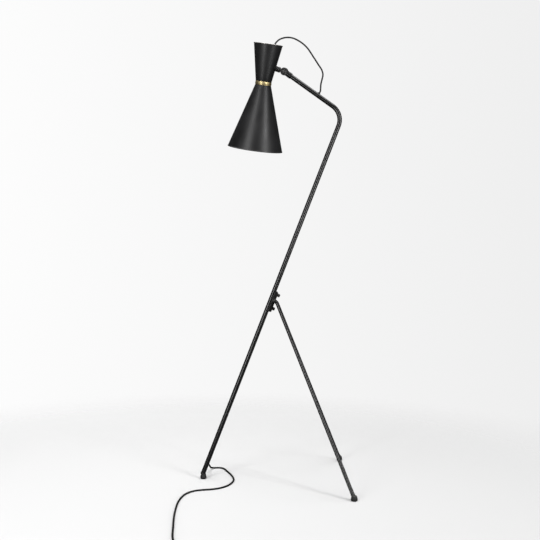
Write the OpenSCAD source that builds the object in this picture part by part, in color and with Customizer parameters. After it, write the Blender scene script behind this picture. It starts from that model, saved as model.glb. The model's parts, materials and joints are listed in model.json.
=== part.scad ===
// Floor lamp with one leaning pole, two folding rear legs and a bent arm.
// A two-cone shade hangs from a swivel and tilt joint at the arm's end.
// The origin is on the floor, at the middle of the front foot.
// +X runs towards the rear feet and +Z runs up.

/* [Pole] */
// Height of the point where the pole's line meets the arm's line
bend_h = 1338; // [1100:1:1600]
// Lean of the pole away from upright, in degrees
pole_tilt = 21.3; // [17:0.1:25]
// Outside diameter of the pole and the arm
pole_d = 17; // [14:0.5:21]
// Wall of the pole and the arm
pole_wall = 1.5; // [1:0.1:2]
// Centre line radius of the bend between the pole and the arm
bend_r = 62; // [50:1:90]

/* [Arm] */
// Slope of the arm below level, in degrees
arm_slope = 35.6; // [25:0.1:45]
// Length of the arm's line, from the pole's line to the head joint
arm_l = 266; // [220:1:340]
// Distance of the cord's upper hole from the head joint
arm_hole_t = 150; // [100:1:160]

/* [Rear legs] */
// Place of the leg pivot, measured up the pole's line
pivot_s = 706; // [560:1:860]
// Distance of the rear feet from the front foot, along X
leg_reach = 523; // [440:1:620]
// Distance between the two rear feet
leg_track = 534; // [430:1:640]
// Outside diameter of the rear legs
leg_d = 13; // [10:0.5:16]
// Wall of the rear legs
leg_wall = 1.5; // [1:0.1:2]
// Width of the bracket that carries the legs
bracket_w = 19; // [16:0.5:24]
// Length of the bracket along the pole
bracket_l = 79; // [66:1:95]
// How far the bracket stands out from the pole
bracket_out = 9; // [8:0.5:12]
// Diameter of the leg pivot bolt
pivot_d = 6; // [5:0.5:7]

/* [Feet] */
// Diameter of a rubber foot
foot_d = 22.6; // [20:0.2:26]
// Height of a rubber foot
foot_h = 19; // [17:0.5:23]
// Rounding of a rubber foot's edges
foot_edge = 4.5; // [3:0.5:6]

/* [Shade] */
// Diameter of the upper cone's open rim
upper_rim_d = 107.8; // [90:0.2:130]
// Height of the upper cone
upper_h = 134; // [110:1:160]
// Diameter of the lower cone's open rim
lower_rim_d = 208.4; // [170:0.2:245]
// Height of the lower cone
lower_h = 236; // [200:1:280]
// Diameter of both cones at the neck
neck_d = 59; // [52:0.5:70]
// Height of the brass ring between the cones
ring_h = 13; // [9:0.5:18]
// Thickness of the shade's sheet metal
sheet = 1.2; // [0.8:0.1:2]
// Diameter of the bead rolled on each rim
bead_d = 3; // [2.4:0.1:4]
// Tilt of the head in its rest pose, in degrees
head_tilt = 8.7; // [-10:0.1:20]
// Roll of the head about the arm in its rest pose, in degrees
head_roll = 15.6; // [-30:0.1:30]
// Distance of the shade's axis from the head joint
head_off = 71.6; // [66:0.2:85]
// Height of the head joint above the upper cone's foot
head_rise = 45.5; // [35:0.5:70]

/* [Head joint] */
// Diameter of the knuckle's round cheeks
knuckle_d = 28; // [24:0.5:30]
// Thickness of the tongue between the cheeks
tongue_w = 8; // [6:0.5:10]
// Thickness of each cheek
cheek_w = 5.5; // [4:0.5:7]
// Diameter of the clamp screw
clamp_d = 6; // [5:0.5:8]
// Diameter of the boss on the shade's wall
boss_d = 20; // [16:0.5:22]
// Diameter of the swivel pin
swivel_d = 8; // [6:0.5:9]
// Outside diameter of the ferrule on the arm's end
ferrule_d = 21; // [20:0.5:25]

/* [Lampholder] */
// Outside diameter of the lampholder
holder_d = 39; // [36:0.5:44]
// Length of the lampholder below its cap
holder_l = 40; // [34:1:48]
// Diameter of the bulb
bulb_d = 60; // [45:1:64]
// Length of the glass below the lampholder
bulb_l = 86; // [74:1:96]

/* [Cords] */
// Diameter of the cord between the arm and the shade
lead_d = 5.8; // [4:0.1:6]
// Diameter of the mains cord
mains_d = 6.2; // [5:0.1:6.5]
// Length of the foot switch
switch_l = 78; // [66:1:90]
// Width of the foot switch
switch_w = 34; // [30:1:42]
// Height of the foot switch's case
switch_h = 19; // [16:0.5:24]
// Travel of the foot switch's button
button_travel = 3; // [2:0.5:4]
// Length of the plug's body
plug_l = 34; // [28:1:40]

/* [Fits] */
// Clearance round parts that turn or slide in each other
run = 0.08; // [0.05:0.01:0.1]
// Clearance round parts that are pressed or screwed together
snug = 0.02; // [0.01:0.01:0.05]
// Gap between faces that pass each other
gap = 0.35; // [0.3:0.05:0.5]

/* [Hidden] */
$fn = 48;
long_cut = 200;

// Stand lines
pole_r = pole_d / 2;
bore_r = pole_r - pole_wall;
foot_r = foot_d / 2;
pole_aim_h = 23;
pole_x0 = -pole_aim_h * tan(pole_tilt);
pole_end_s = 17;
bend_s = bend_h / cos(pole_tilt);
turn = 90 - arm_slope + pole_tilt;
bend_run = bend_r * tan(turn / 2);
bend_pt = [pole_x0 + bend_s * sin(pole_tilt), 0, bend_h];
arm_dir = [cos(arm_slope), 0, -sin(arm_slope)];
arm_up = [sin(arm_slope), 0, cos(arm_slope)];
joint_pt = bend_pt - arm_l * arm_dir;

// Cord holes
mains_exit_s = 50;
grommet_lip = 2;
grommet_wall = 1.6;

// Leg pivot and bracket
pivot_in = bracket_out / 2;
pivot_n = pole_r + pivot_in;
pivot_pt = [
    pole_x0 + pivot_s * sin(pole_tilt) + pivot_n * cos(pole_tilt),
    0,
    pivot_s * cos(pole_tilt) - pivot_n * sin(pole_tilt)
];
leg_r = leg_d / 2;
leg_bore_r = leg_r - leg_wall;
leg_eye_y = bracket_w / 2 + gap + leg_r;
leg_kick = 50;
leg_kick_l = 13;
knee_round = 0.4;
leg_aim_h = 9;
leg_end_h = 13;
screw_head_d = 12;
screw_head_h = 9;
screw_shank_d = 5;
upper_screw_s = bracket_l * 0.44 - 12;
lower_screw_s = -bracket_l * 0.56 + 15;

// Head joint, measured from the joint along the arm
cheek_in = tongue_w / 2 + gap;
cheek_out = cheek_in + cheek_w;
knuckle_r = knuckle_d / 2;
tongue_r = knuckle_r - 0.7;
fork_base_t = knuckle_r + 1.5;
fork_base_h = 5.2;
ferrule_r = ferrule_d / 2;
ferrule_t = fork_base_t + fork_base_h + gap;
ferrule_wall = 4;
ferrule_grip = 7;
arm_end_t = ferrule_t + ferrule_wall;
swivel_nut_h = 4;
swivel_tip_t = arm_end_t + gap + swivel_nut_h + 2;
clamp_head_d = 13;
clamp_head_h = 3.5;
clamp_nut_d = 13;
clamp_nut_h = 5;

// Shade, with z = 0 at the head joint's height
neck_r = neck_d / 2;
upper_foot_z = -head_rise;
upper_rim_z = upper_foot_z + upper_h;
ring_foot_z = upper_foot_z - ring_h;
lower_rim_z = ring_foot_z - lower_h;
upper_rim_r = upper_rim_d / 2;
lower_rim_r = lower_rim_d / 2;
upper_a = atan((upper_rim_r - neck_r) / upper_h);
lower_a = atan((lower_rim_r - neck_r) / lower_h);
wall_r0 = neck_r + head_rise * tan(upper_a);
wall_d = (head_off - wall_r0) * cos(upper_a);
boss_start = knuckle_r + gap + 1;
boss_screw_l = 8;
boss_screw_r = 2.5;
stud_foot = tongue_r - 4;
stud_end = wall_d - boss_screw_l - gap;
vent_d = 8;
vent_count = 6;

// Lampholder
nipple_d = 10;
nipple_bore = lead_d + 0.6;
nipple_up = 9;
nipple_down = 9;
nut_h = 4;
grip_h = 15;
grip_d = 15;
cap_h = 11;
holder_r = holder_d / 2;
holder_top_z = ring_foot_z - sheet - cap_h;
holder_foot_z = holder_top_z - holder_l;
socket_r = 15.5;
contact_h = 12;
screw_base_r = 13;
screw_base_l = holder_l - contact_h;
glass_wall = 1;

// Switch, coil and plug lie in one line beside the lamp
mains_r = mains_d / 2;
lead_r = lead_d / 2;
line_y = -748;
switch_x = 150;
switch_z = 8;
coil_r = 30;
coil_x = 292;
coil_y = line_y - coil_r;
coil_half = mains_d;
coil_h = 2 * mains_d;
coil_out = coil_r + coil_half;
coil_in = coil_r - coil_half;
coil_reach = sqrt(coil_out * coil_out - coil_r * coil_r);
relief_l = 24;
plug_x = 392;
plug_w = 25;
plug_h = 16;
blade_l = 17;
blade_w = 6.3;
blade_t = 1.5;
blade_gap = 12.7;
button_d = 22;
button_out = 4;
tie_w = 9;
tie_t = 1;

// Route of the mains cord on the floor, from behind the pole
floor_z = mains_r;
mains_route = [
    [11, 44, 43.5], [14, 73, 33], [16.5, 99, 19], [18, 119, 9.5],
    [23, 130.5, 5.4], [32.2, 138, 3.4], [43.5, 140.5, floor_z], [57, 137, floor_z],
    [67, 127, floor_z], [83, 87, floor_z], [100, 39, floor_z], [112, -22, floor_z],
    [105, -73, floor_z], [88, -109, floor_z], [64, -133, floor_z], [38, -145, floor_z],
    [10, -151, floor_z], [-18, -164, floor_z], [-42, -196, floor_z], [-56, -260, floor_z],
    [-56, -380, floor_z], [-44, -520, floor_z], [-28, -640, floor_z], [-4, -704, floor_z],
    [36, -740, floor_z], [74, line_y, 5]
];
// Route of the free lead over the shade's rim, and down to the arm
lead_head_route = [
    [246, -2, 1540], [262, -9, 1590], [276, -8, 1606], [298, -6, 1615],
    [324, -4, 1615], [352, -2, 1603]
];
lead_mid = [378, -1, 1582];
lead_arm_route = [
    [404, 0, 1545], [422, 0, 1517], [434, 0, 1498], [438, 0, 1481],
    [434.5, 0, 1463], [430.5, 0, 1446], [429.5, 0, 1431]
];

// Point and frame helpers
function unit(v) = v / norm(v);
function turned(v, axis, a) =
    v * cos(a) + cross(axis, v) * sin(a) + axis * (axis * v) * (1 - cos(a));
function tilted(v) = [
    v.x * cos(head_tilt) + v.z * sin(head_tilt),
    v.y,
    v.z * cos(head_tilt) - v.x * sin(head_tilt)
];
function head_pt(v) = joint_pt + turned(tilted(v), arm_dir, head_roll);
function frame(x, y, z, o) = [
    [x.x, y.x, z.x, o.x],
    [x.y, y.y, z.y, o.y],
    [x.z, y.z, z.z, o.z],
    [0, 0, 0, 1]
];

// Smooth curve through points, with unit tangents scaled to each span
function tangent(p, i) =
    i == 0 ? unit(p[1] - p[0]) :
    i == len(p) - 1 ? unit(p[i] - p[i - 1]) :
    unit(unit(p[i] - p[i - 1]) + unit(p[i + 1] - p[i]));
function span_pt(a, b, u, v, t) =
    a * (2 * t * t * t - 3 * t * t + 1) + u * (t * t * t - 2 * t * t + t) +
    b * (3 * t * t - 2 * t * t * t) + v * (t * t * t - t * t);
function curve(p, k) = [
    for (i = [0 : len(p) - 2], j = [0 : k - 1])
        let (d = norm(p[i + 1] - p[i]))
        span_pt(p[i], p[i + 1], tangent(p, i) * d, tangent(p, i + 1) * d, j / k),
    p[len(p) - 1]
];
function side_axis(t) = unit(cross(t, abs(t.z) < 0.9 ? [0, 0, 1] : [1, 0, 0]));
function carried(t, i = 0, n = [0, 0, 0]) =
    i == len(t) ? [] :
    let (m = i == 0 ? side_axis(t[0]) : unit(n - (n * t[i]) * t[i]))
    concat([m], carried(t, i + 1, m));

// Round cord along a path, from ring a to ring b of it
module swept_cord(path, r, sides, a = 0, b = -1) {
    t = [for (i = [0 : len(path) - 1]) tangent(path, i)];
    n = carried(t);
    last = (b < 0 ? len(path) - 1 : b) - a;
    rings = [
        for (i = [a : a + last], k = [0 : sides - 1])
            let (c = 360 * k / sides)
            path[i] + r * (cos(c) * n[i] + sin(c) * cross(t[i], n[i]))
    ];
    walls = [
        for (i = [0 : last - 1], k = [0 : sides - 1])
            let (c = i * sides + k, d = i * sides + (k + 1) % sides)
            each [[c, c + sides, d + sides], [c, d + sides, d]]
    ];
    start = [[for (k = [0 : sides - 1]) k]];
    end = [[for (k = [sides - 1 : -1 : 0]) last * sides + k]];
    polyhedron(points = rings, faces = concat(start, walls, end));
}

module on_pole(s, n = 0) {
    translate([
        pole_x0 + s * sin(pole_tilt) + n * cos(pole_tilt),
        0,
        s * cos(pole_tilt) - n * sin(pole_tilt)
    ])
        rotate([0, pole_tilt, 0])
            children();
}

module on_arm(t) {
    translate(joint_pt + t * arm_dir)
        rotate([0, 90 + arm_slope, 0])
            children();
}

module on_swivel() {
    translate(joint_pt)
        rotate(head_roll, arm_dir)
            rotate([0, 90 + arm_slope, 0])
                children();
}

module on_head() {
    translate(joint_pt)
        rotate(head_roll, arm_dir)
            rotate([0, head_tilt, 0])
                children();
}

module on_shade() {
    on_head() translate([-head_off, 0, 0]) children();
}

module on_boss() {
    on_head() rotate([0, upper_a - 90, 0]) children();
}

// A plate in the XZ plane, centred on Y
module plate_y(h) {
    rotate([90, 0, 0]) linear_extrude(height = h, center = true) children();
}

// A round bar along Y, centred
module bar_y(r, h) {
    rotate([90, 0, 0]) cylinder(r = r, h = h, center = true);
}

// Rounded rubber foot, standing on the floor at the origin
module foot_form() {
    rotate_extrude()
        union() {
            square([foot_r - foot_edge, foot_h]);
            translate([0, foot_edge]) square([foot_r, foot_h - 2 * foot_edge]);
            intersection() {
                union() {
                    translate([foot_r - foot_edge, foot_edge]) circle(foot_edge);
                    translate([foot_r - foot_edge, foot_h - foot_edge]) circle(foot_edge);
                }
                square([foot_r, foot_h]);
            }
        }
}

module foot_front() {
    color("#1a1a1a") {
        difference() {
            foot_form();
            on_pole(pole_end_s) cylinder(r = pole_r + snug, h = long_cut);
        }
        on_pole(pole_end_s) cylinder(r = bore_r - snug, h = 14);
    }
}

module pole_tube() {
    color("#262626")
        difference() {
            on_pole(pole_end_s) cylinder(r = pole_r, h = bend_s - bend_run - pole_end_s);
            on_pole(pole_end_s - 1) cylinder(r = bore_r, h = bend_s);
            mains_hole(grommet_r() + snug);
        }
}

function grommet_r() = mains_r + grommet_wall;

module mains_hole(r) {
    on_pole(mains_exit_s) rotate([-90, 0, 0]) cylinder(r = r, h = pole_d);
}

module lead_hole(r) {
    on_arm(arm_hole_t) rotate([0, -90, 0]) cylinder(r = r, h = pole_d);
}

module pole_bend() {
    color("#262626")
        on_pole(bend_s - bend_run)
            translate([-bend_r, 0, 0])
                rotate([90, 0, 0])
                    rotate_extrude(angle = turn)
                        translate([bend_r, 0])
                            difference() {
                                circle(pole_r);
                                circle(bore_r);
                            }
}

module arm_tube() {
    color("#262626")
        difference() {
            on_arm(arm_end_t) cylinder(r = pole_r, h = arm_l - bend_run - arm_end_t);
            on_arm(arm_end_t - 1) cylinder(r = bore_r, h = arm_l);
            lead_hole(lead_r + grommet_wall + snug);
        }
}

// The lead inside the pole and the arm, from the lower to the upper hole
module inner_lead() {
    color("#101010") {
        on_pole(mains_exit_s) cylinder(r = lead_r, h = bend_s - bend_run - mains_exit_s);
        on_pole(mains_exit_s) rotate([-90, 0, 0]) cylinder(r = lead_r, h = bore_r - 1);
        on_pole(mains_exit_s) sphere(r = lead_r);
        on_pole(bend_s - bend_run)
            translate([-bend_r, 0, 0])
                rotate([90, 0, 0])
                    rotate_extrude(angle = turn)
                        translate([bend_r, 0])
                            circle(lead_r);
        on_arm(arm_hole_t) cylinder(r = lead_r, h = arm_l - bend_run - arm_hole_t);
        on_pole(bend_s - bend_run) sphere(r = lead_r + 0.3);
        on_arm(arm_l - bend_run) sphere(r = lead_r + 0.3);
        on_arm(arm_hole_t) sphere(r = lead_r);
        on_arm(arm_hole_t) rotate([0, -90, 0]) cylinder(r = lead_r, h = bore_r - 1);
    }
}

// Bushing in a tube's hole, drawn with its axis along Z from the tube's line
module bushing(cord_r) {
    rotate_extrude()
        difference() {
            union() {
                translate([0, bore_r - 1])
                    square([cord_r + grommet_wall, pole_wall + 1 + grommet_lip]);
                translate([0, pole_r]) square([cord_r + 3, grommet_lip - 0.6]);
                translate([0, pole_r]) square([cord_r + 2.4, grommet_lip]);
            }
            translate([0, -1]) square([cord_r, pole_d]);
        }
}

module mains_grommet() {
    color("#141414")
        difference() {
            on_pole(mains_exit_s) rotate([-90, 0, 0]) bushing(mains_r);
            on_pole(mains_exit_s - 30) cylinder(r = bore_r - 1, h = 60);
        }
}

module lead_grommet() {
    color("#141414")
        difference() {
            on_arm(arm_hole_t) rotate([0, -90, 0]) bushing(lead_r);
            on_arm(arm_hole_t - 30) cylinder(r = bore_r - 1, h = 60);
        }
}

// Stepped ferrule that closes the arm's end and carries the swivel pin
module arm_ferrule() {
    color("#202020")
        on_arm(ferrule_t)
            difference() {
                union() {
                    cylinder(r = ferrule_r, h = ferrule_wall + ferrule_grip - 3);
                    cylinder(r = pole_r + 1, h = ferrule_wall + ferrule_grip);
                }
                translate([0, 0, ferrule_wall]) cylinder(r = pole_r + snug, h = long_cut);
                translate([0, 0, -1]) cylinder(r = swivel_d / 2 + run, h = long_cut);
            }
}

// Bracket that lies along the pole's rear side and carries the leg pivot
module leg_bracket() {
    low = -bracket_l * 0.56;
    high = bracket_l * 0.44;
    face = pole_r + bracket_out;
    color("#1c1c1c")
        difference() {
            on_pole(pivot_s)
                plate_y(bracket_w)
                    polygon([
                        [0, low], [face - 3, low], [face, low + 3],
                        [face, high - 5], [face - 5, high], [0, high]
                    ]);
            on_pole(pivot_s - bracket_l) cylinder(r = pole_r + snug, h = 2 * bracket_l);
            on_pole(pivot_s - bracket_l)
                translate([-pole_d, -pole_d, 0]) cube([pole_d, 2 * pole_d, 2 * bracket_l]);
            on_pole(pivot_s, pivot_n) bar_y(pivot_d / 2 + run, 2 * bracket_w);
            for (s = [upper_screw_s, lower_screw_s])
                on_pole(pivot_s + s)
                    rotate([0, 90, 0]) cylinder(d = screw_shank_d + 2 * snug, h = pole_d * 2);
        }
}

// Two knurled screws that hold the bracket to the pole
module bracket_screws() {
    face = pole_r + bracket_out;
    color("#2a2a2a")
        for (s = [upper_screw_s, lower_screw_s])
            on_pole(pivot_s + s)
                rotate([0, 90, 0])
                    difference() {
                        union() {
                            translate([0, 0, pole_r + snug])
                                cylinder(d = screw_shank_d, h = face - pole_r);
                            translate([0, 0, face])
                                cylinder(d = screw_head_d, h = screw_head_h - 2);
                            translate([0, 0, face])
                                cylinder(d = screw_head_d - 2, h = screw_head_h);
                        }
                        translate([-screw_head_d / 2, -0.6, face + screw_head_h - 1.5])
                            cube([screw_head_d, 1.2, 3]);
                    }
}

module pivot_bolt() {
    color("#3a3a3a")
        on_pole(pivot_s, pivot_n)
            bar_y(pivot_d / 2, 2 * (leg_eye_y + leg_r + gap + 1.5));
}

// Domed nuts on both ends of the pivot bolt
module pivot_nuts() {
    color("#2a2a2a")
        for (side = [0, 180])
            on_pole(pivot_s, pivot_n)
                rotate([0, 0, side])
                    translate([0, leg_eye_y + leg_r + gap, 0])
                        rotate([-90, 0, 0])
                            difference() {
                                union() {
                                    cylinder(d = pivot_d + 5, h = 2.5, $fn = 6);
                                    translate([0, 0, 2.5])
                                        intersection() {
                                            translate([0, 0, -2.2]) sphere(d = pivot_d + 5);
                                            cylinder(d = pivot_d + 5, h = 5);
                                        }
                                }
                                translate([0, 0, -1]) cylinder(d = pivot_d + 2 * snug, h = 2.5);
                            }
}

// Rear leg: an eye on the pivot, a short kick outwards, then a long tube
function leg_eye(side) = [pivot_pt.x, side * leg_eye_y, pivot_pt.z];
function leg_knee(side) = [
    pivot_pt.x + leg_kick_l * sin(leg_kick),
    side * leg_eye_y,
    pivot_pt.z - leg_kick_l * cos(leg_kick)
];
function leg_aim(side) = [leg_reach, side * leg_track / 2, leg_aim_h];
function leg_dir(side) = unit(leg_aim(side) - leg_knee(side));

module rear_leg(side) {
    eye = leg_eye(side);
    knee = leg_knee(side);
    low_dir = leg_dir(side);
    top_dir = unit(knee - eye);
    top_x = side_axis(top_dir);
    low_x = side_axis(low_dir);
    long_l = (knee.z - leg_end_h) / -low_dir.z;
    difference() {
        union() {
            translate(eye) bar_y(leg_r, leg_d);
            translate(knee) sphere(r = leg_r + knee_round);
            multmatrix(frame(top_x, cross(top_dir, top_x), top_dir, eye))
                cylinder(r = leg_r, h = leg_kick_l);
            multmatrix(frame(low_x, cross(low_dir, low_x), low_dir, knee))
                cylinder(r = leg_r, h = long_l);
        }
        multmatrix(frame(low_x, cross(low_dir, low_x), low_dir, knee))
            translate([0, 0, 12]) cylinder(r = leg_bore_r, h = long_l);
        translate(eye) bar_y(pivot_d / 2 + run, 2 * leg_d);
    }
}

module rear_foot(side) {
    up = -leg_dir(side);
    end_l = (leg_end_h - leg_aim_h) / up.z;
    up_x = side_axis(up);
    difference() {
        translate([leg_reach, side * leg_track / 2, 0]) foot_form();
        multmatrix(frame(up_x, cross(up, up_x), up, leg_aim(side) + end_l * up))
            cylinder(r = leg_r + snug, h = long_cut);
    }
    multmatrix(frame(up_x, cross(up, up_x), up, leg_aim(side) + end_l * up))
        translate([0, 0, -1]) cylinder(r = leg_bore_r - snug, h = 13);
}

module leg_right() {
    color("#2c2c2c") rear_leg(-1);
}

module leg_right_foot() {
    color("#1a1a1a") rear_foot(-1);
}

module leg_left() {
    color("#2c2c2c") rear_leg(1);
}

module leg_left_foot() {
    color("#1a1a1a") rear_foot(1);
}

// Fork with two round cheeks, turning on a pin in the arm's ferrule
module swivel_fork() {
    color("#202020")
        on_swivel()
            difference() {
                union() {
                    for (side = [-1, 1])
                        translate([0, side * (cheek_in + cheek_w / 2), 0])
                            plate_y(cheek_w) {
                                circle(knuckle_r);
                                polygon([
                                    [-knuckle_r * 0.92, knuckle_r * 0.4],
                                    [knuckle_r * 0.92, knuckle_r * 0.4],
                                    [ferrule_r - 1, fork_base_t + 1],
                                    [1 - ferrule_r, fork_base_t + 1]
                                ]);
                            }
                    translate([0, 0, fork_base_t]) cylinder(r = ferrule_r - 0.6, h = fork_base_h);
                    cylinder_from(fork_base_t + 1, swivel_tip_t, swivel_d / 2);
                }
                bar_y(clamp_d / 2 + snug, 60);
            }
}

module cylinder_from(a, b, r) {
    translate([0, 0, a]) cylinder(r = r, h = b - a);
}

// Nut that keeps the swivel pin in the arm
module swivel_nut() {
    color("#4a4a4a")
        on_swivel()
            difference() {
                cylinder_from(arm_end_t + gap, arm_end_t + gap + swivel_nut_h, bore_r - gap);
                cylinder_from(arm_end_t, swivel_tip_t + 1, swivel_d / 2 + snug);
            }
}

module clamp_screw() {
    color("#2a2a2a")
        on_swivel()
            difference() {
                union() {
                    bar_y(clamp_d / 2, 2 * cheek_out);
                    translate([0, -cheek_out - clamp_head_h / 2, 0])
                        bar_y(clamp_head_d / 2, clamp_head_h);
                    translate([0, cheek_out + clamp_nut_h / 2, 0])
                        bar_y(clamp_d / 2, clamp_nut_h);
                }
                translate([-clamp_head_d / 2, -cheek_out - clamp_head_h - 1, -0.8])
                    cube([clamp_head_d, 2.2, 1.6]);
            }
}

module clamp_nut() {
    color("#2a2a2a")
        on_swivel()
            translate([0, cheek_out + clamp_nut_h / 2, 0])
                difference() {
                    rotate([90, 0, 0])
                        cylinder(d = clamp_nut_d, h = clamp_nut_h, center = true, $fn = 6);
                    bar_y(clamp_d / 2 + snug, 2 * clamp_nut_h);
                }
}

// Tongue that tilts between the cheeks, with a stud into the boss
module head_tongue() {
    color("#202020")
        difference() {
            union() {
                on_head() bar_y(tongue_r, tongue_w);
                on_boss() cylinder_from(stud_foot, stud_end, tongue_w / 2);
            }
            on_head() bar_y(clamp_d / 2 + run, 60);
        }
}

module upper_cone_solid(inset) {
    rotate_extrude()
        polygon([
            [0, upper_foot_z - 20],
            [neck_r - inset / cos(upper_a) - 20 * tan(upper_a), upper_foot_z - 20],
            [upper_rim_r - inset / cos(upper_a), upper_rim_z],
            [0, upper_rim_z]
        ]);
}

// Barrel-shaped boss that seats on the upper cone's wall
module head_boss() {
    color("#1e1e1e")
        difference() {
            on_boss() {
                cylinder_from(boss_start + 1.5, wall_d + 4, boss_d / 2);
                cylinder_from(boss_start, wall_d + 4, boss_d / 2 - 1.5);
            }
            on_shade() upper_cone_solid(0);
            on_boss() cylinder_from(stud_foot, stud_end + gap, tongue_w / 2 + snug);
            on_boss() cylinder_from(wall_d - boss_screw_l, wall_d + 8, boss_screw_r + snug);
        }
}

// Screw from inside the shade that holds the boss to the wall
module boss_screw() {
    color("#8a8a86")
        difference() {
            union() {
                on_boss() cylinder_from(wall_d - boss_screw_l, wall_d + 6, boss_screw_r);
                difference() {
                    on_boss() cylinder_from(wall_d - 1, wall_d + sheet + 3, 5.5);
                    difference() {
                        on_boss() cylinder_from(wall_d - 20, wall_d + 20, 12);
                        on_shade() upper_cone_solid(sheet);
                    }
                }
            }
            on_boss()
                translate([-6, -0.6, wall_d + sheet + 1.8]) cube([12, 1.2, 8]);
        }
}

// Outline of a cone's sheet as [radius, distance from its foot]
function cone_outline(h, rim_r, a) =
    let (t = sheet / cos(a), bead = bead_d / 2)
    concat(
        [[nipple_d / 2 + snug, 0], [neck_r, 0]],
        [[rim_r - 1.9 * bead * tan(a), h - 1.9 * bead]],
        [
            for (i = [0 : 8])
                let (b = -30 + i * 32.5)
                [rim_r - bead + bead * cos(b), h - bead + bead * sin(b)]
        ],
        [[rim_r - t - 2.2 * bead * tan(a), h - 2.2 * bead]],
        [[neck_r - t + sheet * tan(a), sheet], [nipple_d / 2 + snug, sheet]]
    );

// Sheet metal cone with a flat foot plate, vents and a beaded rim
module cone_sheet(foot_z, up, h, rim_r, a) {
    difference() {
        rotate_extrude()
            polygon([for (p = cone_outline(h, rim_r, a)) [p.x, foot_z + up * p.y]]);
        for (i = [0 : vent_count - 1])
            rotate([0, 0, i * 360 / vent_count])
                translate([(neck_r + nipple_d / 2) / 2 + 2, 0, foot_z - 3])
                    cylinder(d = vent_d, h = 6);
    }
}

module shade_upper() {
    color("#232323")
        difference() {
            on_shade() cone_sheet(upper_foot_z, 1, upper_h, upper_rim_r, upper_a);
            on_boss() cylinder_from(wall_d - boss_screw_l, wall_d + 8, boss_screw_r + snug);
        }
}

module shade_lower() {
    color("#232323")
        on_shade() cone_sheet(ring_foot_z, -1, lower_h, lower_rim_r, lower_a);
}

// Brass ring that spaces the two cones, with a softly rounded outside
module neck_ring() {
    bulge_r = ring_h * 1.4;
    color("#b08a3c")
        on_shade()
            translate([0, 0, ring_foot_z])
                rotate_extrude()
                    union() {
                        translate([neck_r - 3, 0]) square([3, ring_h]);
                        intersection() {
                            translate([neck_r + 1 - bulge_r, ring_h / 2]) circle(bulge_r);
                            translate([neck_r - 2, 0]) square([4, ring_h]);
                        }
                    }
}

// Threaded tube that clamps both cones and carries the lampholder
module holder_nipple() {
    color("#a8843a")
        on_shade()
            difference() {
                cylinder_from(
                    ring_foot_z - sheet - nipple_down,
                    upper_foot_z + sheet + nipple_up,
                    nipple_d / 2
                );
                cylinder_from(ring_foot_z - 60, upper_foot_z + 60, nipple_bore / 2);
            }
}

module nipple_nut() {
    color("#a8843a")
        on_shade()
            translate([0, 0, upper_foot_z + sheet])
                difference() {
                    cylinder(d = 17, h = nut_h, $fn = 6);
                    translate([0, 0, -1]) cylinder(d = nipple_d + 2 * snug, h = nut_h + 2);
                }
}

// Grip on the nipple's top end that holds the lead
module cord_grip() {
    foot = upper_foot_z + sheet + nut_h;
    color("#efe9dc")
        on_shade()
            difference() {
                union() {
                    cylinder_from(foot, foot + grip_h - 5, grip_d / 2);
                    cylinder_from(foot, foot + grip_h, grip_d / 2 - 3);
                }
                cylinder_from(foot - 1, upper_foot_z + sheet + nipple_up, nipple_d / 2 + snug);
                cylinder_from(foot - 1, foot + grip_h + 1, lead_r);
            }
}

module holder_cap() {
    color("#1d1a18")
        on_shade()
            translate([0, 0, holder_top_z])
                difference() {
                    rotate_extrude()
                        union() {
                            square([holder_r, 4]);
                            intersection() {
                                translate([holder_r - 9, 2]) circle(9);
                                square([holder_r, cap_h]);
                            }
                            square([holder_r - 9, cap_h]);
                        }
                    translate([0, 0, -1]) cylinder(r = socket_r, h = 5);
                    translate([0, 0, -1])
                        cylinder(d = nipple_d + 2 * snug, h = cap_h + 2);
                }
}

module holder_shell() {
    color("#1d1a18")
        on_shade()
            difference() {
                union() {
                    cylinder_from(holder_foot_z, holder_top_z, holder_r);
                    cylinder_from(holder_foot_z, holder_foot_z + 6, holder_r + 1.5);
                }
                cylinder_from(holder_foot_z - 1, holder_top_z + 1, socket_r);
            }
}

// Ceramic block with the contacts, above the bulb's base
module holder_contact() {
    color("#e8e2d4")
        on_shade()
            cylinder_from(holder_top_z - contact_h + gap, holder_top_z, socket_r - snug);
}

module bulb_base() {
    color("#b9b6ae")
        on_shade()
            union() {
                cylinder_from(holder_foot_z, holder_foot_z + screw_base_l - 6, screw_base_r);
                cylinder_from(holder_foot_z, holder_foot_z + screw_base_l - 2, screw_base_r - 4);
                cylinder_from(holder_foot_z, holder_foot_z + screw_base_l, 5);
            }
}

// Outline of the glass, from its neck at z = 0 down to the crown
function bulb_outline(inset) =
    let (r = bulb_d / 2, mid = r - bulb_l, first = 26, steps = 20)
    concat(
        [[screw_base_r + 1 - inset, 0], [screw_base_r + 2 - inset, -12]],
        [
            for (i = [0 : steps])
                let (b = first - i * (first + 90) / steps)
                [(r - inset) * cos(b), mid + (r - inset) * sin(b)]
        ]
    );

module bulb_glass() {
    outer = bulb_outline(0);
    inner = bulb_outline(glass_wall);
    last = len(inner) - 1;
    color("#f4f1e6")
        on_shade()
            translate([0, 0, holder_foot_z])
                rotate_extrude()
                    polygon(concat(outer, [for (i = [last : -1 : 0]) inner[i]]));
}

// Free lead from the shade's lampholder to the hole in the arm
grip_top_z = upper_foot_z + sheet + nut_h + grip_h;
lead_start = head_pt([-head_off, 0, grip_top_z]);
lead_end = joint_pt + arm_hole_t * arm_dir + (pole_r + grommet_lip) * arm_up;

lead_head_spans = len(lead_head_route) + 2;
lead_step = 2;
lead_path = curve(
    concat(
        [lead_start, head_pt([-head_off, 0, grip_top_z + 14])],
        lead_head_route,
        [lead_mid],
        lead_arm_route,
        [lead_end + 6 * arm_up, lead_end]
    ),
    lead_step
);

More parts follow.
